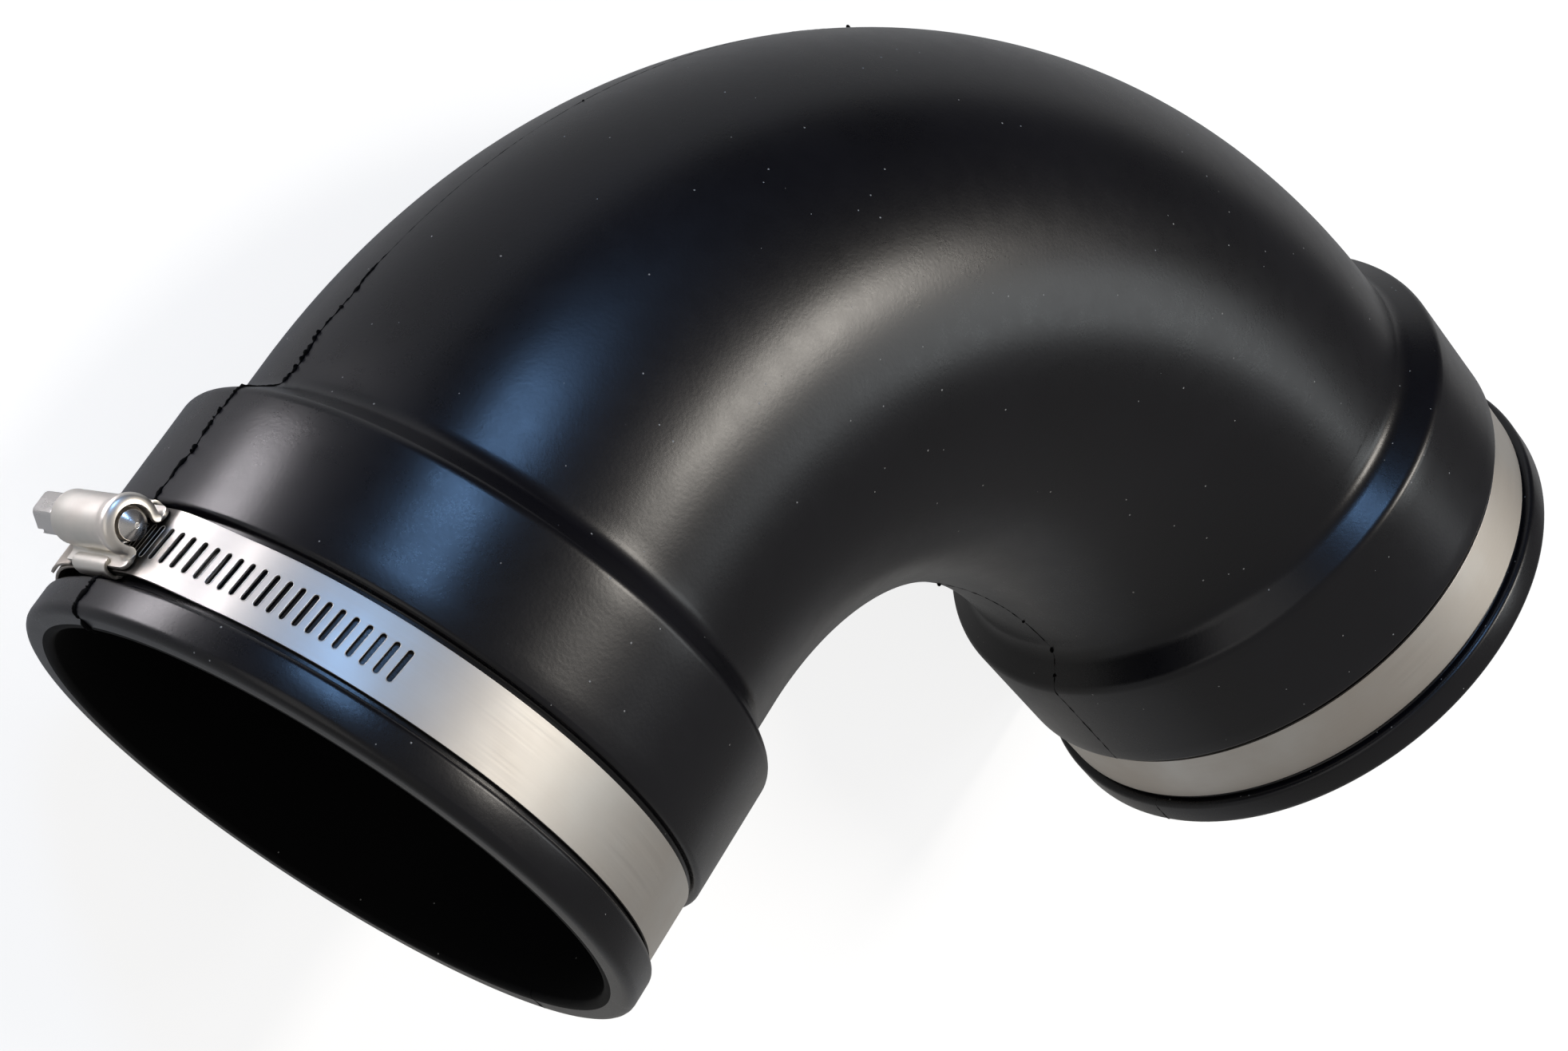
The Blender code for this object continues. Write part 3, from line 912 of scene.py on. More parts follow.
@dataclass
class PartingFlash:
    """The ragged film and torn bits that the mould leaves along its parting line."""

    spacing: float = 0.45 * MM
    thickness: float = 0.24 * MM
    wander: float = 2.6 * MM
    bit_size: float = 0.5 * MM
    bit_share: float = 0.16
    seed: int = 7

    def build(
        self, lines: list[tuple[Line, list[float]]], rubber: bpy.types.Material
    ) -> bpy.types.Object:
        """Builds the flash along the given lines.

        Args:
            lines: the stretches of the parting line, with each point's raggedness.
            rubber: its material.

        Returns:
            The flash's object.
        """
        mesh = bpy.data.meshes.new("parting_flash")
        points: Line = []
        edges = []
        ragged: list[float] = []
        for line, shares in lines:
            first = len(points)
            points += line
            ragged += shares
            edges += [(first + index, first + index + 1) for index in range(len(line) - 1)]
        mesh.from_pydata(points, edges, [])
        mesh.attributes.new("raggedness", "FLOAT", "POINT").data.foreach_set("value", ragged)
        item = new_object("parting_flash", mesh)
        values = {
            "Spacing": self.spacing,
            "Thickness": self.thickness,
            "Wander": self.wander,
            "Bit Size": self.bit_size,
            "Bit Share": self.bit_share,
            "Seed": self.seed,
        }
        grow(item, self.build_tree(rubber), values)
        settle(item, Matrix.Identity(4), 60.0)
        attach(item, "elbow")
        return item

    @staticmethod
    def build_tree(rubber: bpy.types.Material) -> bpy.types.NodeTree:
        """Builds the nodes that lay a ragged ridge and torn bits along a line.

        Args:
            rubber: the flash's material.

        Returns:
            The node group.
        """
        sizes = ("Spacing", "Thickness", "Wander", "Bit Size", "Bit Share")
        tree, make, inside, outside = open_geometry("parting flash", sizes, ("Seed",))
        curve = make.add("GeometryNodeMeshToCurve", {0: inside.outputs[0]})
        evenly = {"Curve": curve.outputs[0], "Length": inside.outputs["Spacing"]}
        even = make.add("GeometryNodeResampleCurve", evenly, mode="LENGTH")
        spot = make.add("GeometryNodeInputPosition").outputs[0]
        rough = make.attribute("raggedness", "FLOAT")
        slow = make.noise(spot, 130.0, 1.0)
        quick = make.noise(spot, 700.0, 2.0)
        sway = make.plus(slow.outputs[0], make.times(quick.outputs[0], 0.45))
        centred = make.maths("SUBTRACT", sway, 0.725)
        strayed = make.times(make.times(centred, rough), inside.outputs["Wander"])
        wavy = make.lifted(even, strayed)
        ragged = make.noise(spot, 620.0, 4.0)
        stretch = make.ramp(ragged.outputs[0], 0.42, 0.66, 0.3, 2.0)
        thick = make.times(stretch, inside.outputs["Thickness"])
        radius = make.times(thick, rough)
        ridge = make.add(
            "GeometryNodeCurveToMesh",
            {0: wavy.outputs[0], 1: make.wire(6, 1.0), "Scale": radius, "Fill Caps": True},
        )
        dots = make.add("GeometryNodeCurveToPoints", {"Curve": wavy.outputs[0]}, mode="EVALUATED")
        likely = make.times(make.maths("POWER", rough, 2.0), inside.outputs["Bit Share"])
        chosen = make.add(
            "FunctionNodeRandomValue",
            {"Probability": likely, "Seed": inside.outputs["Seed"]},
            data_type="BOOLEAN",
        )
        grown = make.add(
            "FunctionNodeRandomValue",
            {0: (0.3, 0.3, 0.3), 1: (1.4, 1.4, 1.4), "Seed": inside.outputs["Seed"]},
            data_type="FLOAT_VECTOR",
        )
        sized = {0: grown.outputs[0], "Scale": inside.outputs["Bit Size"]}
        scale = make.add("ShaderNodeVectorMath", sized, operation="SCALE")
        lump = make.add("GeometryNodeMeshIcoSphere", {"Radius": 1.0, "Subdivisions": 2})
        bits = make.add(
            "GeometryNodeInstanceOnPoints",
            {
                "Points": dots.outputs[0],
                "Selection": chosen.outputs[3],
                "Instance": lump.outputs[0],
                "Scale": scale.outputs[0],
            },
        )
        both = make.add("GeometryNodeJoinGeometry")
        tree.links.new(ridge.outputs[0], both.inputs[0])
        tree.links.new(bits.outputs[0], both.inputs[0])
        close_geometry(tree, make, both.outputs[0], rubber, outside)
        return tree


def open_geometry(name: str, sizes: tuple[str, ...], counts: tuple[str, ...] = ()) -> tuple:
    """Starts a Geometry Nodes tree.

    Args:
        name: the tree's name.
        sizes: the names of its number inputs.
        counts: the names of its whole number inputs.

    Returns:
        The tree, its maker of nodes, its input node and its output node.
    """
    tree = bpy.data.node_groups.new(name, "GeometryNodeTree")
    tree.interface.new_socket("Geometry", in_out="INPUT", socket_type="NodeSocketGeometry")
    for label in sizes:
        tree.interface.new_socket(label, in_out="INPUT", socket_type="NodeSocketFloat")
    for label in counts:
        tree.interface.new_socket(label, in_out="INPUT", socket_type="NodeSocketInt")
    tree.interface.new_socket("Geometry", in_out="OUTPUT", socket_type="NodeSocketGeometry")
    make = NodeMaker(tree)
    return tree, make, make.add("NodeGroupInput"), make.add("NodeGroupOutput")


def close_geometry(
    tree: bpy.types.NodeTree,
    make: NodeMaker,
    shape: bpy.types.NodeSocket,
    material: bpy.types.Material,
    outside: bpy.types.Node,
) -> None:
    """Ends a Geometry Nodes tree: instances made real, and a material set.

    Args:
        tree: the tree.
        make: its maker of nodes.
        shape: the socket of the finished shape.
        material: the shape's material.
        outside: the tree's output node.
    """
    real = make.add("GeometryNodeRealizeInstances", {0: shape})
    painted = make.add("GeometryNodeSetMaterial", {"Geometry": real.outputs[0], "Material": material})
    tree.links.new(painted.outputs[0], outside.inputs[0])


def grow(item: bpy.types.Object, tree: bpy.types.NodeTree, values: dict[str, float]) -> None:
    """Adds a Geometry Nodes modifier and sets its inputs by their sockets' identifiers.

    Args:
        item: the object.
        tree: the Geometry Nodes tree.
        values: each input's name and value.
    """
    modifier = item.modifiers.new(tree.name, "NODES")
    modifier.node_group = tree
    for socket in tree.interface.items_tree:
        if socket.item_type == "SOCKET" and socket.in_out == "INPUT" and socket.name in values:
            modifier[socket.identifier] = values[socket.name]


# ---- The clamps ----


@dataclass
class BandSizes:
    """The strip's sizes and the levels of its layers, from the mouth's centre."""

    width: float = 13.0 * MM
    thickness: float = 0.55 * MM
    round_radius: float = 59.175 * MM
    first_layer: float = 60.025 * MM
    second_layer: float = 60.825 * MM
    slot_pitch: float = 2.46 * MM
    slot_length: float = 6.3 * MM
    slot_width: float = 1.15 * MM
    slot_slant: float = math.radians(6.0)
    slot_count: int = 27
    tail_length: float = 15.5 * MM
    tail_gap: float = 0.15 * MM
    tail_margin: float = 17.0 * MM
    tongue_inset: float = 2.3 * MM
    lift_margin: float = 1.5 * MM
    slot_frame: float = 2.5 * MM
    slot_clear: float = 4.1 * MM
    tip_landing: float = math.radians(24.0)
    tip_reach: float = 7.0 * MM
    head_landing: float = math.radians(42.0)
    head_reach: float = 20.0 * MM
    arch_margin: float = 3.0 * MM
    arch_reach: float = 8.7 * MM


@dataclass
class HousingSizes:
    """The pressed housing's sizes, with its place along the worm."""

    middle: float = 2.6 * MM
    length: float = 19.8 * MM
    sheet: float = 0.7 * MM
    flange_level: float = 61.7 * MM
    axis_height: float = 65.2 * MM
    barrel_radius: float = 4.25 * MM
    flange_edge: float = 6.2 * MM

    @property
    def front(self) -> float:
        """Gives the place of the end that the screw's tip shows at."""
        return self.middle - 0.5 * self.length

    @property
    def back(self) -> float:
        """Gives the place of the end at the screw's head."""
        return self.middle + 0.5 * self.length


class StripPath:
    """The band's centre line in the plane of its ring, read by length."""

    def __init__(self, band: BandSizes, housing: HousingSizes) -> None:
        """Lays the line from the free tail round to the tongue.

        Args:
            band: the strip's sizes.
            housing: the housing's sizes.
        """
        self.band = band
        self.back = housing.back
        arch = [self.round_point(math.tau - band.head_landing)] + self.arch(housing)
        backwards = StripLine(list(reversed(arch)))
        tail = []
        for step in range(24, 0, -1):
            share = step / 24
            spot, way = backwards.at(band.tail_length * share)
            gap = band.second_layer - band.first_layer + band.tail_gap * share
            tail.append(spot + Vector((way.y, -way.x)) * gap)
        straight = Vector((band.second_layer, housing.back - band.arch_margin))
        leave = Vector((band.second_layer, housing.front + band.lift_margin))
        landing = band.tip_landing
        points = tail + [straight, leave]
        points += smooth_between(
            leave,
            Vector((0.0, -band.tip_reach)),
            self.round_point(landing),
            self.round_way(landing) * band.tip_reach,
            40,
        )
        last = math.tau - band.head_landing
        count = 420
        for step in range(1, count + 1):
            points.append(self.round_point(landing + (last - landing) * step / count))
        points += self.arch(housing)
        points.append(Vector((band.first_layer, housing.front + band.tongue_inset)))
        self.line = StripLine(points)

    def round_point(self, turn: float) -> Vector:
        """Gives a point of the round, turned from the housing to its tip side."""
        return Vector((math.cos(turn), -math.sin(turn))) * self.band.round_radius

    @staticmethod
    def round_way(turn: float) -> Vector:
        """Gives the direction of travel on the round."""
        return Vector((-math.sin(turn), -math.cos(turn)))

    def arch(self, housing: HousingSizes) -> Line:
        """Gives the band's curve on the head side, from the groove's round to the housing.

        Args:
            housing: the housing's sizes.

        Returns:
            The curve's points.
        """
        band = self.band
        last = math.tau - band.head_landing
        back = Vector((band.first_layer, housing.back - band.arch_margin))
        leave = self.round_way(last) * band.head_reach
        return smooth_between(self.round_point(last), leave, back, Vector((0.0, -band.arch_reach)), 48)


class StripLine:
    """A line of points that is read by the length along it."""

    def __init__(self, points: Line) -> None:
        """Keeps the points and the length up to each.

        Args:
            points: the line's points, in 2-D.
        """
        self.points = points
        self.lengths = [0.0]
        for start, stop in zip(points, points[1:]):
            self.lengths.append(self.lengths[-1] + (stop - start).length)
        self.ways = []
        last = len(points) - 1
        for index in range(len(points)):
            around = points[min(index + 1, last)] - points[max(index - 1, 0)]
            self.ways.append(around.normalized())

    def at(self, length: float) -> tuple[Vector, Vector]:
        """Gives the place and the direction at a length.

        Args:
            length: the length along the line.

        Returns:
            The point, and the direction of travel there.
        """
        index = min(max(bisect_right(self.lengths, length) - 1, 0), len(self.points) - 2)
        span = self.lengths[index + 1] - self.lengths[index]
        share = min(max((length - self.lengths[index]) / span, 0.0), 1.0)
        way = self.ways[index].lerp(self.ways[index + 1], share)
        return self.points[index].lerp(self.points[index + 1], share), way.normalized()


@dataclass
class ClampBand:
    """The slotted steel strip that laps over itself inside the housing."""

    sizes: BandSizes
    path: StripPath
    prefix: str
    column: float = 1.1 * MM
    edge: float = 0.07 * MM
    slot_steps: int = 6
    # Where the painted shade near the housing is full, and over how far it fades in.
    shade_middle: float = -9.2 * MM
    shade_fade: float = 1.6 * MM

    def slot_places(self) -> list[float]:
        """Gives the length along the band of each slot's middle.

        Returns:
            The lengths, from the tail on.
        """
        sizes = self.sizes
        pitch = sizes.slot_pitch
        return [sizes.tail_margin + (index + 0.5) * pitch for index in range(sizes.slot_count)]

    def build(self, place: Matrix, steel: bpy.types.Material) -> bpy.types.Object:
        """Builds the band.

        Args:
            place: the ring's frame.
            steel: the band's material.

        Returns:
            The band's object.
        """
        self.points: Line = []
        self.flat: list[tuple[float, float]] = []
        self.index: dict[tuple[int, int], int] = {}
        self.faces: list[list[int]] = []
        sizes = self.sizes
        half = 0.5 * sizes.width
        start = sizes.tail_margin
        stop = start + sizes.slot_count * sizes.slot_pitch
        total = self.path.line.lengths[-1]
        rises = (sizes.slot_frame, sizes.slot_clear, half)
        levels = [-rise for rise in reversed(rises)] + list(rises)
        for low, high in ((0.0, start), (stop, total)):
            count = max(1, round((high - low) / self.column))
            for step in range(count):
                left = low + (high - low) * step / count
                right = low + (high - low) * (step + 1) / count
                for lower, upper in zip(levels, levels[1:]):
                    self.patch([(left, lower), (right, lower), (right, upper), (left, upper)])
        for middle in self.slot_places():
            self.slot_cell(middle, levels)
        mesh = bpy.data.meshes.new(self.prefix + "_strip")
        mesh.from_pydata(self.points, [], self.faces)
        layer = mesh.uv_layers.new(name="Strip")
        for loop in mesh.loops:
            layer.data[loop.index].uv = self.flat[loop.vertex_index]
        # Painted shade near the housing, kept on each point for the strip's material.
        painted_shade = mesh.attributes.new("painted_shade", "FLOAT", "POINT")
        painted_shade.data.foreach_set("value", [self.painted_shade_share(point) for point in self.points])
        item = new_object(self.prefix + "_strip", mesh)
        add_wall(item, sizes.thickness, self.edge)
        dress(item, steel)
        settle(item, place)
        self.level_shading(item, place)
        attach(item, "elbow")
        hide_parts(self.prefix + "_band")
        return item

    def painted_shade_share(self, point: Vector) -> float:
        """Gives the share of painted shade on the strip: all of it in and just before the housing,
        where the housing shades it.

        Args:
            point: a point of the strip, in the ring's frame.

        Returns:
            The share, from 0 to 1.
        """
        start = self.shade_middle - 0.5 * self.shade_fade
        if point.x < 0.0 or point.y > self.path.back:
            return 0.0
        share = min(max((point.y - start) / self.shade_fade, 0.0), 1.0)
        return share * share * (3.0 - 2.0 * share)

    def level_shading(self, item: bpy.types.Object, place: Matrix) -> None:
        """Shades the strip's two faces by its own curve, so that the slots leave no dents.

        Args:
            item: the finished strip.
            place: the ring's frame.
        """
        mesh = item.data
        spots = mesh.uv_layers["Strip"].data
        normals = [entry.vector.copy() for entry in mesh.corner_normals]
        for face in mesh.polygons:
            for index in face.loop_indices:
                _, way = self.path.line.at(spots[index].uv.x)
                outwards = place.to_3x3() @ Vector((-way.y, way.x, 0.0))
                facing = outwards.dot(face.normal)
                if abs(facing) > 0.98:
                    normals[index] = outwards if facing > 0.0 else -outwards
        mesh.normals_split_custom_set(normals)

    def vertex(self, length: float, across: float) -> int:
        """Gives the index of the point at a place on the unrolled strip.

        Args:
            length: the length along the strip.
            across: the place across it.

        Returns:
            The point's index.
        """
        key = (round(length * 1e7), round(across * 1e7))
        if key not in self.index:
            spot, _ = self.path.line.at(length)
            self.index[key] = len(self.points)
            self.points.append(Vector((spot.x, spot.y, across)))
            self.flat.append((length, across))
        return self.index[key]

    def patch(self, corners: list[tuple[float, float]]) -> None:
        """Adds a face through places on the unrolled strip."""
        self.faces.append([self.vertex(*corner) for corner in corners])

    def slot_outline(self, middle: float, top: bool) -> list[tuple[float, float]]:
        """Gives one rounded end of a slot, from its right side to its left or back.

        Args:
            middle: the length at the slot's middle.
            top: whether it is the end towards the mouth's rim.

        Returns:
            The end's points on the unrolled strip.
        """
        sizes = self.sizes
        sign = 1.0 if top else -1.0
        straight = 0.5 * (sizes.slot_length - sizes.slot_width)
        ends = []
        for step in range(self.slot_steps + 1):
            turn = math.pi * step / self.slot_steps
            along = sign * 0.5 * sizes.slot_width * math.cos(turn)
            across = sign * (straight + 0.5 * sizes.slot_width * math.sin(turn))
            leaned = Matrix.Rotation(sizes.slot_slant, 2) @ Vector((along, across))
            ends.append((middle + leaned.x, leaned.y))
        return ends

    def slot_cell(self, middle: float, levels: list[float]) -> None:
        """Adds the stretch of strip round one slot.

        Args:
            middle: the length at the slot's middle.
            levels: the places across the strip that its faces end at.
        """
        reach = 0.5 * self.sizes.slot_pitch
        for top in (True, False):
            sign = 1.0 if top else -1.0
            near, far = (levels[3], levels[4]) if top else (levels[2], levels[1])
            edge = levels[5] if top else levels[0]
            steps = (reach, reach, 0.5 * reach, 0.0, -0.5 * reach, -reach, -reach)
            rise = (near, far, far, far, far, far, near)
            frame_points = [(middle + sign * step, level) for step, level in zip(steps, rise)]
            hole = self.slot_outline(middle, top)
            for first in range(self.slot_steps):
                second = first + 1
                self.patch([frame_points[first], frame_points[second], hole[second], hole[first]])
            for first, second in zip(frame_points[1:5], frame_points[2:6]):
                self.patch([first, (first[0], edge), (second[0], edge), second])
        top_hole, low_hole = self.slot_outline(middle, True), self.slot_outline(middle, False)
        left, right = middle - reach, middle + reach
        self.patch([(left, levels[3]), (left, levels[2]), low_hole[0], top_hole[-1]])
        self.patch([(right, levels[2]), (right, levels[3]), top_hole[0], low_hole[-1]])


@dataclass
class SlotRims:
    """The thin raised burr that the punch leaves round each slot."""

    sizes: BandSizes
    prefix: str
    rim: float = 0.07 * MM

    def build(self, band: ClampBand, place: Matrix, steel: bpy.types.Material) -> bpy.types.Object:
        """Builds the burrs of all the slots.

        Args:
            band: the band that they stand on.
            place: the ring's frame.
            steel: the band's material.

        Returns:
            The burrs' object.
        """
        points = []
        turns = []
        for length in band.slot_places():
            spot, way = band.path.line.at(length)
            spot, ahead = spot.to_3d(), way.to_3d()
            normal = Vector((-way.y, way.x, 0.0))
            if normal.dot(spot) < 0.0:
                normal = -normal
            slant = self.sizes.slot_slant
            leaned = math.cos(slant) * ahead + math.sin(slant) * Vector((0.0, 0.0, 1.0))
            points.append(spot + normal * 0.5 * self.sizes.thickness)
            side = normal.cross(leaned)
            turns.append(Matrix((leaned, side, normal)).transposed().to_euler())
        mesh = bpy.data.meshes.new(self.prefix + "_slot_burrs")
        mesh.from_pydata(points, [], [])
        facing = mesh.attributes.new("facing", "FLOAT_VECTOR", "POINT")
        for entry, turn in zip(facing.data, turns):
            entry.vector = turn
        item = new_object(self.prefix + "_slot_burrs", mesh)
        sizes = self.sizes
        values = {"Length": sizes.slot_length, "Width": sizes.slot_width, "Rim": self.rim}
        grow(item, self.build_tree(steel), values)
        settle(item, place, 80.0)
        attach(item, "elbow")
        return item

    @staticmethod
    def build_tree(steel: bpy.types.Material) -> bpy.types.NodeTree:
        """Builds the nodes that lay a rounded rim on each point.

        Args:
            steel: the band's material.

        Returns:
            The node group.
        """
        tree, make, inside, outside = open_geometry("slot burrs", ("Length", "Width", "Rim"))
        oblong = make.add(
            "GeometryNodeCurvePrimitiveQuadrilateral",
            {"Width": inside.outputs["Width"], "Height": inside.outputs["Length"]},
        )
        corner = make.times(inside.outputs["Width"], 0.495)
        corners = {"Curve": oblong.outputs[0], "Count": 4, "Radius": corner}
        rounded = make.add("GeometryNodeFilletCurve", corners, mode="POLY")
        section = make.wire(6, inside.outputs["Rim"])
        rim = make.add("GeometryNodeCurveToMesh", {0: rounded.outputs[0], 1: section})
        facing = make.attribute("facing", "FLOAT_VECTOR")
        spread = make.add(
            "GeometryNodeInstanceOnPoints",
            {"Points": inside.outputs[0], "Instance": rim.outputs[0], "Rotation": facing},
        )
        close_geometry(tree, make, spread.outputs[0], steel, outside)
        return tree


@dataclass
class Saddle:
    """The strip under the band, with a tab rolled over each side of the housing's foot."""

    housing: HousingSizes
    prefix: str
    level: float = 59.2 * MM
    length: float = 12.0 * MM
    shift: float = 1.0 * MM
    thickness: float = 0.6 * MM
    tab_length: float = 10.8 * MM
    tab_top: float = 62.6 * MM
    fold_out: float = 7.05 * MM
    tab_reach: float = 2.2 * MM
    corner_cut: float = 0.5 * MM
    edge: float = 0.12 * MM
    steps: int = 14

    def build(self, place: Matrix, steel: bpy.types.Material) -> bpy.types.Object:
        """Builds the saddle.

        Args:
            place: the ring's frame.
            steel: the saddle's material.

        Returns:
            The saddle's object.
        """
        middle = self.housing.middle + self.shift
        corners = [
            Vector((self.level, 0.0)),
            Vector((self.level, self.fold_out)),
            Vector((self.tab_top, self.fold_out)),
            Vector((self.tab_top - 0.25 * MM, self.fold_out - self.tab_reach)),
        ]
        radii = [0.0, 0.9 * MM, 1.25 * MM]
        section = rounded_line(corners, radii, 6)
        rows = []
        for step in range(self.steps + 1):
            along = -1.0 + 2.0 * step / self.steps
            short = self.corner_cut * max(0.0, (abs(along) - 0.8) / 0.2) ** 2
            row = []
            for side in (-1.0, 1.0):
                points = section if side > 0.0 else list(reversed(section))
                for point in points:
                    rise = (point.x - self.level) / (self.tab_top - self.level)
                    reach = 0.5 * (self.tab_length if rise > 0.02 else self.length)
                    on_tab = abs(point.y) < self.fold_out - 0.5 * self.tab_reach and rise > 0.5
                    pull = short if on_tab else 0.0
                    row.append(Vector((point.x, middle + along * reach, side * (point.y + pull))))
            rows.append(row)
        item = grid_mesh(self.prefix + "_saddle_sheet", rows)
        mend(item)
        add_wall(item, self.thickness, self.edge)
        add_strip_map(item)
        dress(item, steel)
        settle(item, place)
        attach(item, "elbow")
        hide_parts(self.prefix + "_saddle")
        return item


def add_strip_map(item: bpy.types.Object) -> None:
    """Gives a small piece a flat map along the worm and up from the band.

    Args:
        item: the object.
    """
    layer = item.data.uv_layers.new(name="Strip")
    for loop in item.data.loops:
        spot = item.data.vertices[loop.vertex_index].co
        layer.data[loop.index].uv = (spot.y, spot.x + 0.7 * spot.z)


@dataclass
class Housing:
    """The pressed housing: a beaded barrel round the worm on two feet."""

    sizes: HousingSizes
    prefix: str
    fillet: float = 1.1 * MM
    bead: float = 0.6 * MM
    bead_length: float = 4.2 * MM
    rim_turn: float = 0.5 * MM
    mouth_curl: float = 1.5 * MM
    head_gap: float = 0.5 * MM
    foot_trim: float = 1.5 * MM
    edge: float = 0.16 * MM
    swell_share: float = 0.72
    trim_share: float = 0.55
    fillet_steps: int = 5
    barrel_steps: int = 26
    bead_steps: int = 14

    @staticmethod
    def bowed(share: float, start: float) -> float:
        """Gives the fall of a quarter circle from a start to 1, as a share of its radius."""
        past = max(0.0, (share - start) / (1.0 - start))
        return 1.0 - math.sqrt(1.0 - min(past, 1.0) ** 2)

    def section(self, radius: float, place: float, edge: float) -> Line:
        """Gives one section across the housing, from one foot's edge to the other's.

        Args:
            radius: the barrel's radius there.
            place: the place along the worm.
            edge: how far the feet reach to each side.

        Returns:
            The section's points.
        """
        sizes = self.sizes
        height = sizes.axis_height - sizes.flange_level - self.fillet
        beside = math.sqrt((radius + self.fillet) ** 2 - height**2)
        lean = math.atan2(beside, height)
        hub = Vector((sizes.flange_level + self.fillet, beside))
        axis = Vector((sizes.axis_height, 0.0))
        half = [Vector((sizes.flange_level, max(edge, beside + 0.05 * MM)))]
        for step in range(self.fillet_steps + 1):
            turn = -math.pi + (math.pi - lean) * step / self.fillet_steps
            half.append(hub + Vector((math.cos(turn), math.sin(turn))) * self.fillet)
        quarter = self.barrel_steps // 2
        for step in range(1, quarter + 1):
            turn = (math.pi - lean) * (1.0 - step / quarter)
            half.append(axis + Vector((math.cos(turn), math.sin(turn))) * radius)
        other = [Vector((point.x, -point.y)) for point in reversed(half[:-1])]
        return [Vector((point.x, place, point.y)) for point in half + other]

    def build(self, place: Matrix, steel: bpy.types.Material) -> bpy.types.Object:
        """Builds the housing.

        Args:
            place: the ring's frame.
            steel: the housing's material.

        Returns:
            The housing's object.
        """
        sizes = self.sizes
        barrel = sizes.barrel_radius
        half = 0.5 * sizes.length
        rows = []
        for turn in map(math.radians, (90.0, 60.0, 30.0, 0.0)):
            inward = self.rim_turn * (1.0 - math.cos(turn))
            back = self.rim_turn * math.sin(turn)
            rim_place = sizes.middle + half - self.head_gap - self.rim_turn + back
            rows.append(self.section(barrel - inward, rim_place, sizes.flange_edge))
        bead_start = half - self.bead_length
        straight = bead_start + half - self.rim_turn - self.head_gap
        for step in range(1, 5):
            along = bead_start - straight * (1.0 - step / 4)
            rows.append(self.section(barrel, sizes.middle - along, sizes.flange_edge))
        for step in range(1, self.bead_steps + 1):
            share = step / self.bead_steps
            along = bead_start + self.bead_length * share
            swell = math.sin(min(share / self.swell_share, 1.0) * 0.5 * math.pi) ** 2
            radius = barrel + self.bead * swell - self.mouth_curl * self.bowed(share, self.swell_share)
            edge = sizes.flange_edge - self.foot_trim * self.bowed(share, self.trim_share)
            rows.append(self.section(radius, sizes.middle - along, edge))
        item = grid_mesh(self.prefix + "_housing_shell", rows)
        mend(item)
        add_wall(item, sizes.sheet, self.edge)
        add_strip_map(item)
        dress(item, steel)
        settle(item, place, 45.0)
        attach(item, "elbow")
        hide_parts(self.prefix + "_housing")
        return item


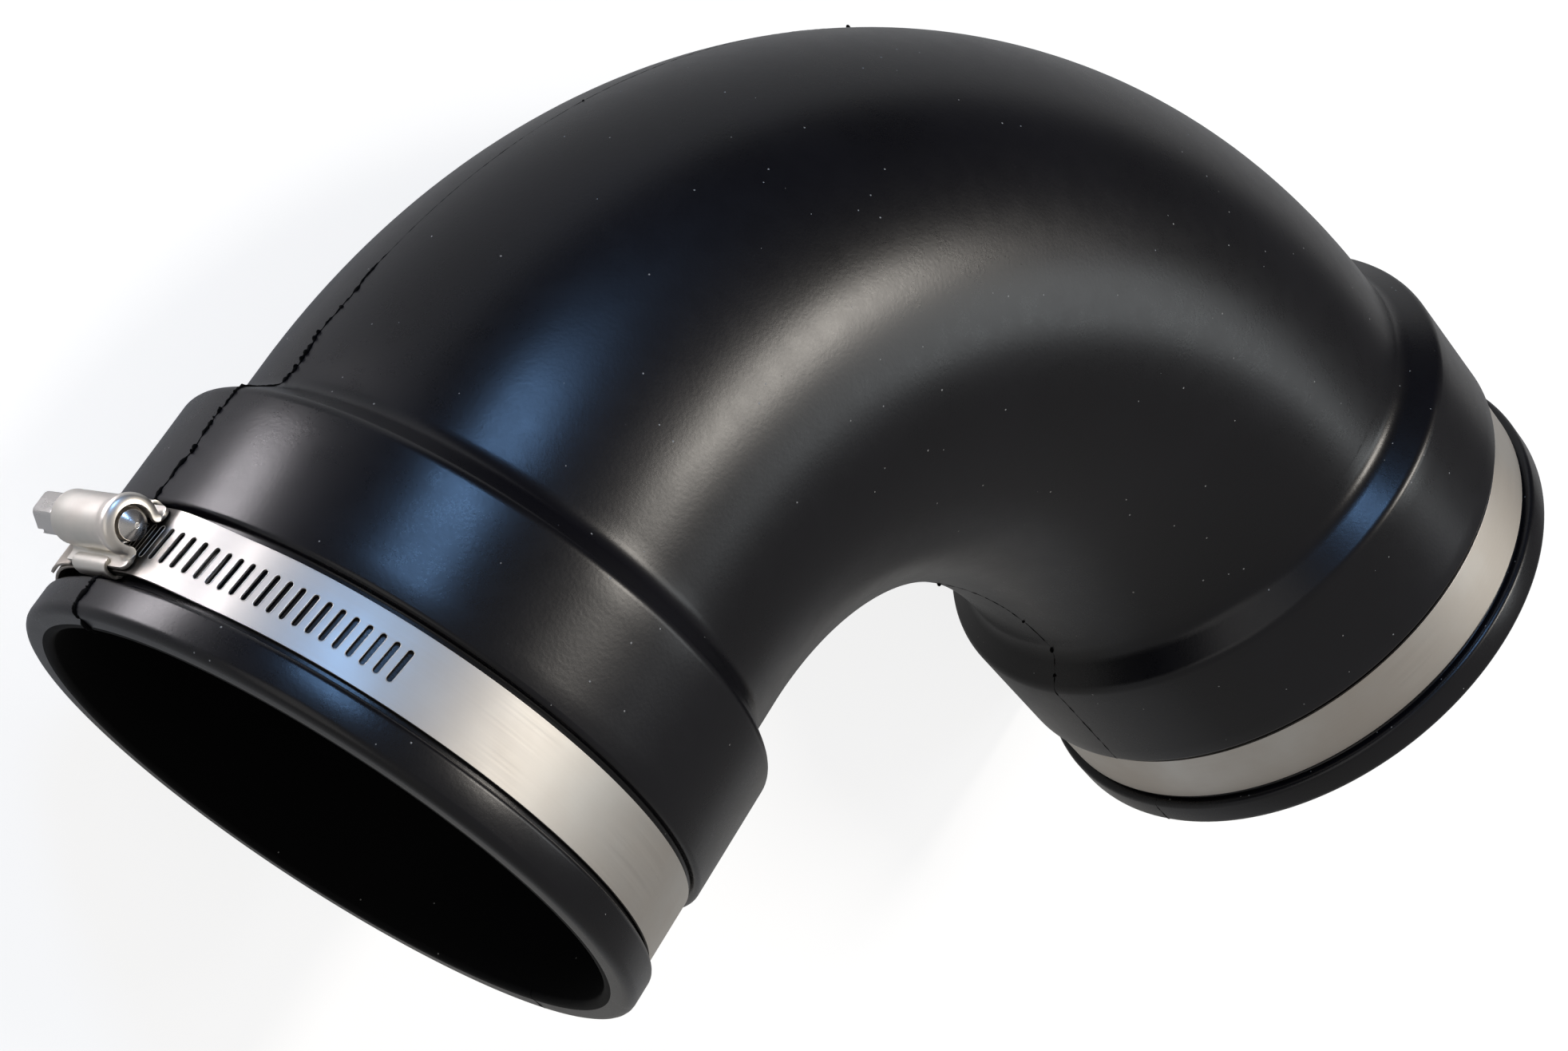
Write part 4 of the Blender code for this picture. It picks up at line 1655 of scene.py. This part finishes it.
@dataclass
class WormScrew:
    """The worm screw: a slotted hexagon, a collar, a thread and a conical tip."""

    housing: HousingSizes
    prefix: str
    body: str
    seat: float = -10.55 * MM
    worm_start: float = -9.25 * MM
    worm_end: float = 8.55 * MM
    root_radius: float = 2.75 * MM
    crest_radius: float = 3.6 * MM
    pitch: float = 2.46 * MM
    hex_flats: float = 7.0 * MM
    hex_height: float = 6.7 * MM
    slot_width: float = 1.2 * MM
    slot_depth: float = 2.2 * MM
    tip_radius: float = 2.6 * MM
    tip_place: float = 11.35 * MM
    neck_radius: float = 2.4 * MM
    cone_length: float = 1.45 * MM
    core_sides: int = 64
    head_sides: int = 72
    head_radius: float = 4.25 * MM
    shank_radius: float = 4.1 * MM
    chamfer: float = 1.05 * MM
    corner_limit: float = 1.13
    head_edge: float = 0.14 * MM
    thread_depth: float = 0.5 * MM
    thread_ends: float = 2.2 * MM

    def build(self, place: Matrix, steel: bpy.types.Material) -> list[bpy.types.Object]:
        """Builds the screw's turned part, its hexagon and its thread.

        Args:
            place: the ring's frame.
            steel: the screw's material.

        Returns:
            The screw's objects.
        """
        spot = Matrix.Translation((self.housing.axis_height, self.housing.middle, 0.0))
        whole = place @ spot @ Matrix.Rotation(0.5 * math.pi, 4, "X")
        pieces = [self.build_core(steel), self.build_head(steel), self.build_thread(steel)]
        for piece in pieces:
            settle(piece, whole, 30.0)
            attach(piece, self.body)
        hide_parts(self.prefix + "_screw")
        return pieces

    def build_core(self, steel: bpy.types.Material) -> bpy.types.Object:
        """Builds the turned neck, root and tip.

        Args:
            steel: the screw's material.

        Returns:
            The turned part's object.
        """
        corners = [
            (0.0, self.seat - 1.0 * MM),
            (self.neck_radius, self.seat - 1.0 * MM),
            (self.neck_radius, self.worm_start),
            (self.root_radius, self.worm_start + 0.4 * MM),
            (self.root_radius, self.worm_end),
            (self.tip_radius, self.worm_end + 0.6 * MM),
            (self.tip_radius, self.tip_place - self.cone_length),
            (0.42 * MM, self.tip_place - 0.06 * MM),
            (0.30 * MM, self.tip_place - 0.22 * MM),
            (0.0, self.tip_place - 0.22 * MM),
        ]
        radii = [radius * MM for radius in (0.0, 0.2, 0.1, 0.1, 0.1, 0.1, 0.16, 0.1, 0.0, 0.0)]
        line = rounded_line([Vector(corner) for corner in corners], radii, 4)
        item = turned(self.prefix + "_screw_core", line, self.core_sides)
        add_strip_map(item)
        dress(item, steel)
        return item

    def build_head(self, steel: bpy.types.Material) -> bpy.types.Object:
        """Builds the hexagon with its chamfer, its collar and its driver slot.

        Args:
            steel: the screw's material.

        Returns:
            The hexagon's object.
        """
        flat = 0.5 * self.hex_flats
        height = self.hex_height / MM
        levels = [(0.0, 0.0), (0.35, 0.0), (0.7, 0.0), (height - 1.5, 0.0)]
        levels += [(height - 0.75, 0.25), (height - 0.3, 0.55), (height, 1.0)]
        rows = []
        for depth, cut in levels:
            limit = self.head_radius - self.chamfer * cut**1.5 if cut else self.shank_radius
            place = self.seat - depth * MM
            row = []
            for side in range(self.head_sides):
                turn = math.tau * side / self.head_sides
                sector = (turn + math.pi / 6.0) % (math.pi / 3.0) - math.pi / 6.0
                radius = min(flat / math.cos(sector), limit, flat * self.corner_limit)
                row.append(Vector((radius * math.cos(turn), radius * math.sin(turn), place)))
            rows.append(row)
        item = grid_mesh(self.prefix + "_screw_head", rows, close_columns=True)
        work = bmesh.new()
        work.from_mesh(item.data)
        rims = [edge for edge in work.edges if edge.is_boundary]
        bmesh.ops.holes_fill(work, edges=rims, sides=self.head_sides + 1)
        bmesh.ops.recalc_face_normals(work, faces=work.faces)
        work.to_mesh(item.data)
        work.free()
        self.cut_slot(item)
        add_strip_map(item)
        dress(item, steel)
        return item

    def cut_slot(self, item: bpy.types.Object) -> None:
        """Cuts the driver slot across the hexagon's end.

        Args:
            item: the hexagon's object.
        """
        block = bmesh.new()
        size = Matrix.Diagonal((self.slot_width, 4.0 * self.hex_flats, 2.0 * self.slot_depth, 1.0))
        spot = Matrix.Translation((0.0, 0.0, self.seat - self.hex_height))
        bmesh.ops.create_cube(block, size=1.0, matrix=spot @ size)
        cutter_mesh = bpy.data.meshes.new("driver_slot")
        block.to_mesh(cutter_mesh)
        block.free()
        cutter = new_object("driver_slot", cutter_mesh)
        slot = item.modifiers.new("slot", "BOOLEAN")
        slot.object = cutter
        slot.operation = "DIFFERENCE"
        slot.solver = "EXACT"
        soften(item, self.head_edge)
        apply_modifiers(item)
        bpy.data.objects.remove(cutter)

    def build_thread(self, steel: bpy.types.Material) -> bpy.types.Object:
        """Builds the worm's thread with a spiral of nodes.

        Args:
            steel: the screw's material.

        Returns:
            The thread's object.
        """
        name = self.prefix + "_screw_thread"
        item = new_object(name, bpy.data.meshes.new(name))
        sizes = ("Radius", "Height", "Turns", "Depth", "Start")
        tree, make, inside, outside = open_geometry("worm thread", sizes)
        spiral = make.add(
            "GeometryNodeCurveSpiral",
            {
                "Resolution": 40,
                "Rotations": inside.outputs["Turns"],
                "Start Radius": inside.outputs["Radius"],
                "End Radius": inside.outputs["Radius"],
                "Height": inside.outputs["Height"],
            },
        )
        moved = make.lifted(spiral, inside.outputs["Start"])
        section = make.wire(8, inside.outputs["Depth"])
        ends = {0: moved.outputs[0], 1: section, "Fill Caps": True}
        ridge = make.add("GeometryNodeCurveToMesh", ends)
        close_geometry(tree, make, ridge.outputs[0], steel, outside)
        height = self.worm_end - self.worm_start - self.thread_ends
        values = {
            "Radius": self.crest_radius - self.thread_depth,
            "Height": height,
            "Turns": height / self.pitch,
            "Depth": self.thread_depth,
            "Start": self.worm_start + 1.0 * MM,
        }
        grow(item, tree, values)
        return item


@dataclass
class Clamp:
    """One worm-drive clamp round a mouth's groove."""

    mouth: Mouth
    elbow: ElbowBody
    finishes: dict[str, bpy.types.Material]
    housing_angle: float

    def ring_frame(self) -> Matrix:
        """Gives the frame of the clamp's ring in the whole object's frame.

        Returns:
            The frame's matrix.
        """
        first = self.mouth is Mouth.A
        end = 0 if first else 1
        middle = self.elbow.groove_start(end) + 0.5 * self.elbow.groove_width
        centre = self.elbow.place(-middle if first else self.elbow.bend_length + middle)
        away = centre.to_3x3() @ Vector((0.0, 0.0, -1.0 if first else 1.0))
        outside = centre.to_3x3() @ Vector((1.0, 0.0, 0.0))
        upward = Vector((0.0, 0.0, math.cos(self.housing_angle)))
        radial = outside * math.sin(self.housing_angle) + upward
        matrix = Matrix((radial, away.cross(radial), away)).transposed().to_4x4()
        matrix.translation = centre.translation
        return matrix

    def build(self) -> list[bpy.types.Object]:
        """Builds the clamp's pieces in order.

        Returns:
            All the clamp's objects.
        """
        prefix = "clamp_" + self.mouth.value
        place = self.ring_frame()
        band_sizes, housing_sizes = BandSizes(), HousingSizes()
        band = ClampBand(band_sizes, StripPath(band_sizes, housing_sizes), prefix)
        pieces = [band.build(place, self.finishes["strip"])]
        pieces.append(SlotRims(band_sizes, prefix).build(band, place, self.finishes["strip"]))
        pieces.append(Saddle(housing_sizes, prefix).build(place, self.finishes["pressed"]))
        pieces.append(Housing(housing_sizes, prefix).build(place, self.finishes["pressed"]))
        screw = WormScrew(housing_sizes, prefix, "screw_" + self.mouth.value)
        pieces += screw.build(place, self.finishes["turned"])
        return pieces


# ---- The studio ----


@dataclass(frozen=True)
class SoftLamp:
    """A rectangular lamp with its place and what it faces, in metres."""

    name: str
    place: tuple[float, float, float]
    width: float
    height: float
    glow: float
    colour: tuple[float, float, float]
    aim: tuple[float, float, float] = (-0.02, -0.02, 0.08)

    def build(self) -> None:
        """Places the lamp, with a power that gives its face the wanted glow."""
        data = bpy.data.lights.new(self.name, "AREA")
        data.shape = "RECTANGLE"
        data.size, data.size_y = self.width, self.height
        data.energy = self.glow * math.pi * self.width * self.height
        data.color = self.colour
        lamp = bpy.data.objects.new(self.name, data)
        lamp.location = self.place
        lamp.rotation_mode = "QUATERNION"
        lamp.rotation_quaternion = (Vector(self.aim) - Vector(self.place)).to_track_quat("-Z", "Y")
        bpy.context.scene.collection.objects.link(lamp)


class Studio:
    """The camera, lamps, floor and world."""

    camera_place = (-0.303401, -0.221101, 0.487911)
    camera_right = (0.58279, 0.499815, 0.640735)
    camera_up = (-0.612677, 0.788231, -0.057603)
    camera_back = (-0.533838, -0.358993, 0.765598)
    lens = 66.697
    far_room = (0.04, 0.04, 0.045, 1.0)
    near_room = (0.28, 0.275, 0.27, 1.0)
    bright_side = (0.35, -0.85, 0.40)
    floor_reach = 6.0
    floor_colour = (0.31, 0.31, 0.31, 1.0)
    floor_white = 0.84
    floor_in_gloss = 0.2
    lamps = (
        SoftLamp("window_lamp", (-1.26, 0.455, 0.975), 0.20, 0.54, 17.5, (0.27, 0.53, 1.0)),
        SoftLamp("ceiling_lamp", (0.146, 0.763, 1.466), 0.32, 0.60, 17.0, (1.0, 0.94, 0.86)),
        SoftLamp("wall_lamp", (0.76, 0.80, 1.25), 0.55, 0.45, 2.8, (0.93, 0.98, 1.0)),
        SoftLamp("side_lamp", (-1.156, -0.974, 0.679), 1.3, 0.9, 0.5, (1.0, 0.97, 0.93)),
        SoftLamp(
            "low_lamp", (-0.205, -0.09, 0.006), 0.08, 0.08, 9.0, (1.0, 0.95, 1.0), (-0.11, -0.10, 0.075)
        ),
    )

    def build(self) -> None:
        """Builds the studio round the object."""
        for lamp in self.lamps:
            lamp.build()
        self.build_floor()
        self.build_world()
        self.build_camera()
        bpy.context.scene.view_settings.view_transform = "Standard"

    def build_camera(self) -> None:
        """Places the camera as fitted to the photo."""
        data = bpy.data.cameras.new("camera")
        data.lens = self.lens
        data.sensor_width = 36.0
        data.clip_start, data.clip_end = 0.01, 20.0
        camera = bpy.data.objects.new("camera", data)
        axes = (Vector(self.camera_right), Vector(self.camera_up), Vector(self.camera_back))
        matrix = Matrix(axes).transposed().to_4x4()
        matrix.translation = Vector(self.camera_place)
        camera.matrix_world = matrix
        bpy.context.scene.collection.objects.link(camera)
        bpy.context.scene.camera = camera

    def build_floor(self) -> None:
        """Builds the white floor, which keeps a soft shadow."""
        reach = self.floor_reach
        rows = [[Vector((x, y, 0.0)) for x in (-reach, reach)] for y in (-reach, reach)]
        floor = grid_mesh("floor", rows)
        material, make, shader = open_material("white_floor")
        shader.inputs["Base Color"].default_value = self.floor_colour
        shader.inputs["Roughness"].default_value = 0.9
        shader.inputs["Specular IOR Level"].default_value = 0.0
        path, seen = self.seen_rays(make)
        glossy = make.times(path.outputs["Is Glossy Ray"], self.floor_in_gloss)
        seen = make.plus(seen, glossy, clamp=True)
        shader.inputs["Emission Color"].default_value = (1.0, 1.0, 1.0, 1.0)
        strength = make.times(seen, self.floor_white)
        material.node_tree.links.new(strength, shader.inputs["Emission Strength"])
        dress(floor, material)

    @staticmethod
    def seen_rays(make: NodeMaker) -> tuple[bpy.types.Node, bpy.types.NodeSocket]:
        """Gives a Light Path node, and 1 for a ray that the camera sees, also through glass.

        Args:
            make: the maker of nodes.

        Returns:
            The Light Path node and the value.
        """
        path = make.add("ShaderNodeLightPath")
        direct, through = path.outputs["Is Camera Ray"], path.outputs["Is Transmission Ray"]
        return path, make.plus(direct, through, clamp=True)

    def build_world(self) -> None:
        """Builds the room: dim at the far side, and white where the camera sees it."""
        world = bpy.data.worlds.new("room")
        bpy.context.scene.world = world
        world.use_nodes = True
        make = NodeMaker(world.node_tree)
        background = world.node_tree.nodes["Background"]
        _, seen = self.seen_rays(make)
        ways = {0: make.add("ShaderNodeTexCoord").outputs["Generated"], 1: self.bright_side}
        towards = make.add("ShaderNodeVectorMath", ways, operation="DOT_PRODUCT")
        share = make.ramp(towards.outputs["Value"], -0.8, 0.7)
        room = make.mix(share, self.far_room, self.near_room)
        colour = make.mix(seen, room, (1.0, 1.0, 1.0, 1.0))
        world.node_tree.links.new(colour, background.inputs["Color"])
        background.inputs["Strength"].default_value = 1.0


def main() -> None:
    """Builds the elbow, its clamps and the studio, and reports each piece."""
    logging.basicConfig(level=logging.INFO, format="%(name)s: %(message)s")
    effects = Effects()
    rubber = RubberFinish("moulded_rubber").build(effects)
    bore = RubberFinish("bore_rubber", (0.0010, 0.0010, 0.0012), 0.62, 0.10, 0.01).build(effects)
    # The flash is real torn film, made near black and barely glossy as painted shade of the crack along
    # the seam.
    seam_shade_rubber = PlainFinish("seam_rubber_painted_shade", (0.001, 0.001, 0.001), 0.8, 0.08).build(effects)
    steels = {name: finish.build(effects) for name, finish in STEELS.items()}
    elbow = ElbowBody()
    pieces = [elbow.build(rubber, bore)]
    pieces.append(PartingFlash().build(elbow.seam_lines(), seam_shade_rubber))
    pieces += Clamp(Mouth.A, elbow, steels, HOUSING_ANGLES[Mouth.A]).build()
    pieces += Clamp(Mouth.B, elbow, steels, HOUSING_ANGLES[Mouth.B]).build()
    for piece in pieces:
        LOG.info("%s: %d faces", piece.name, len(piece.data.polygons))
    Studio().build()


if __name__ == "__main__":
    main()
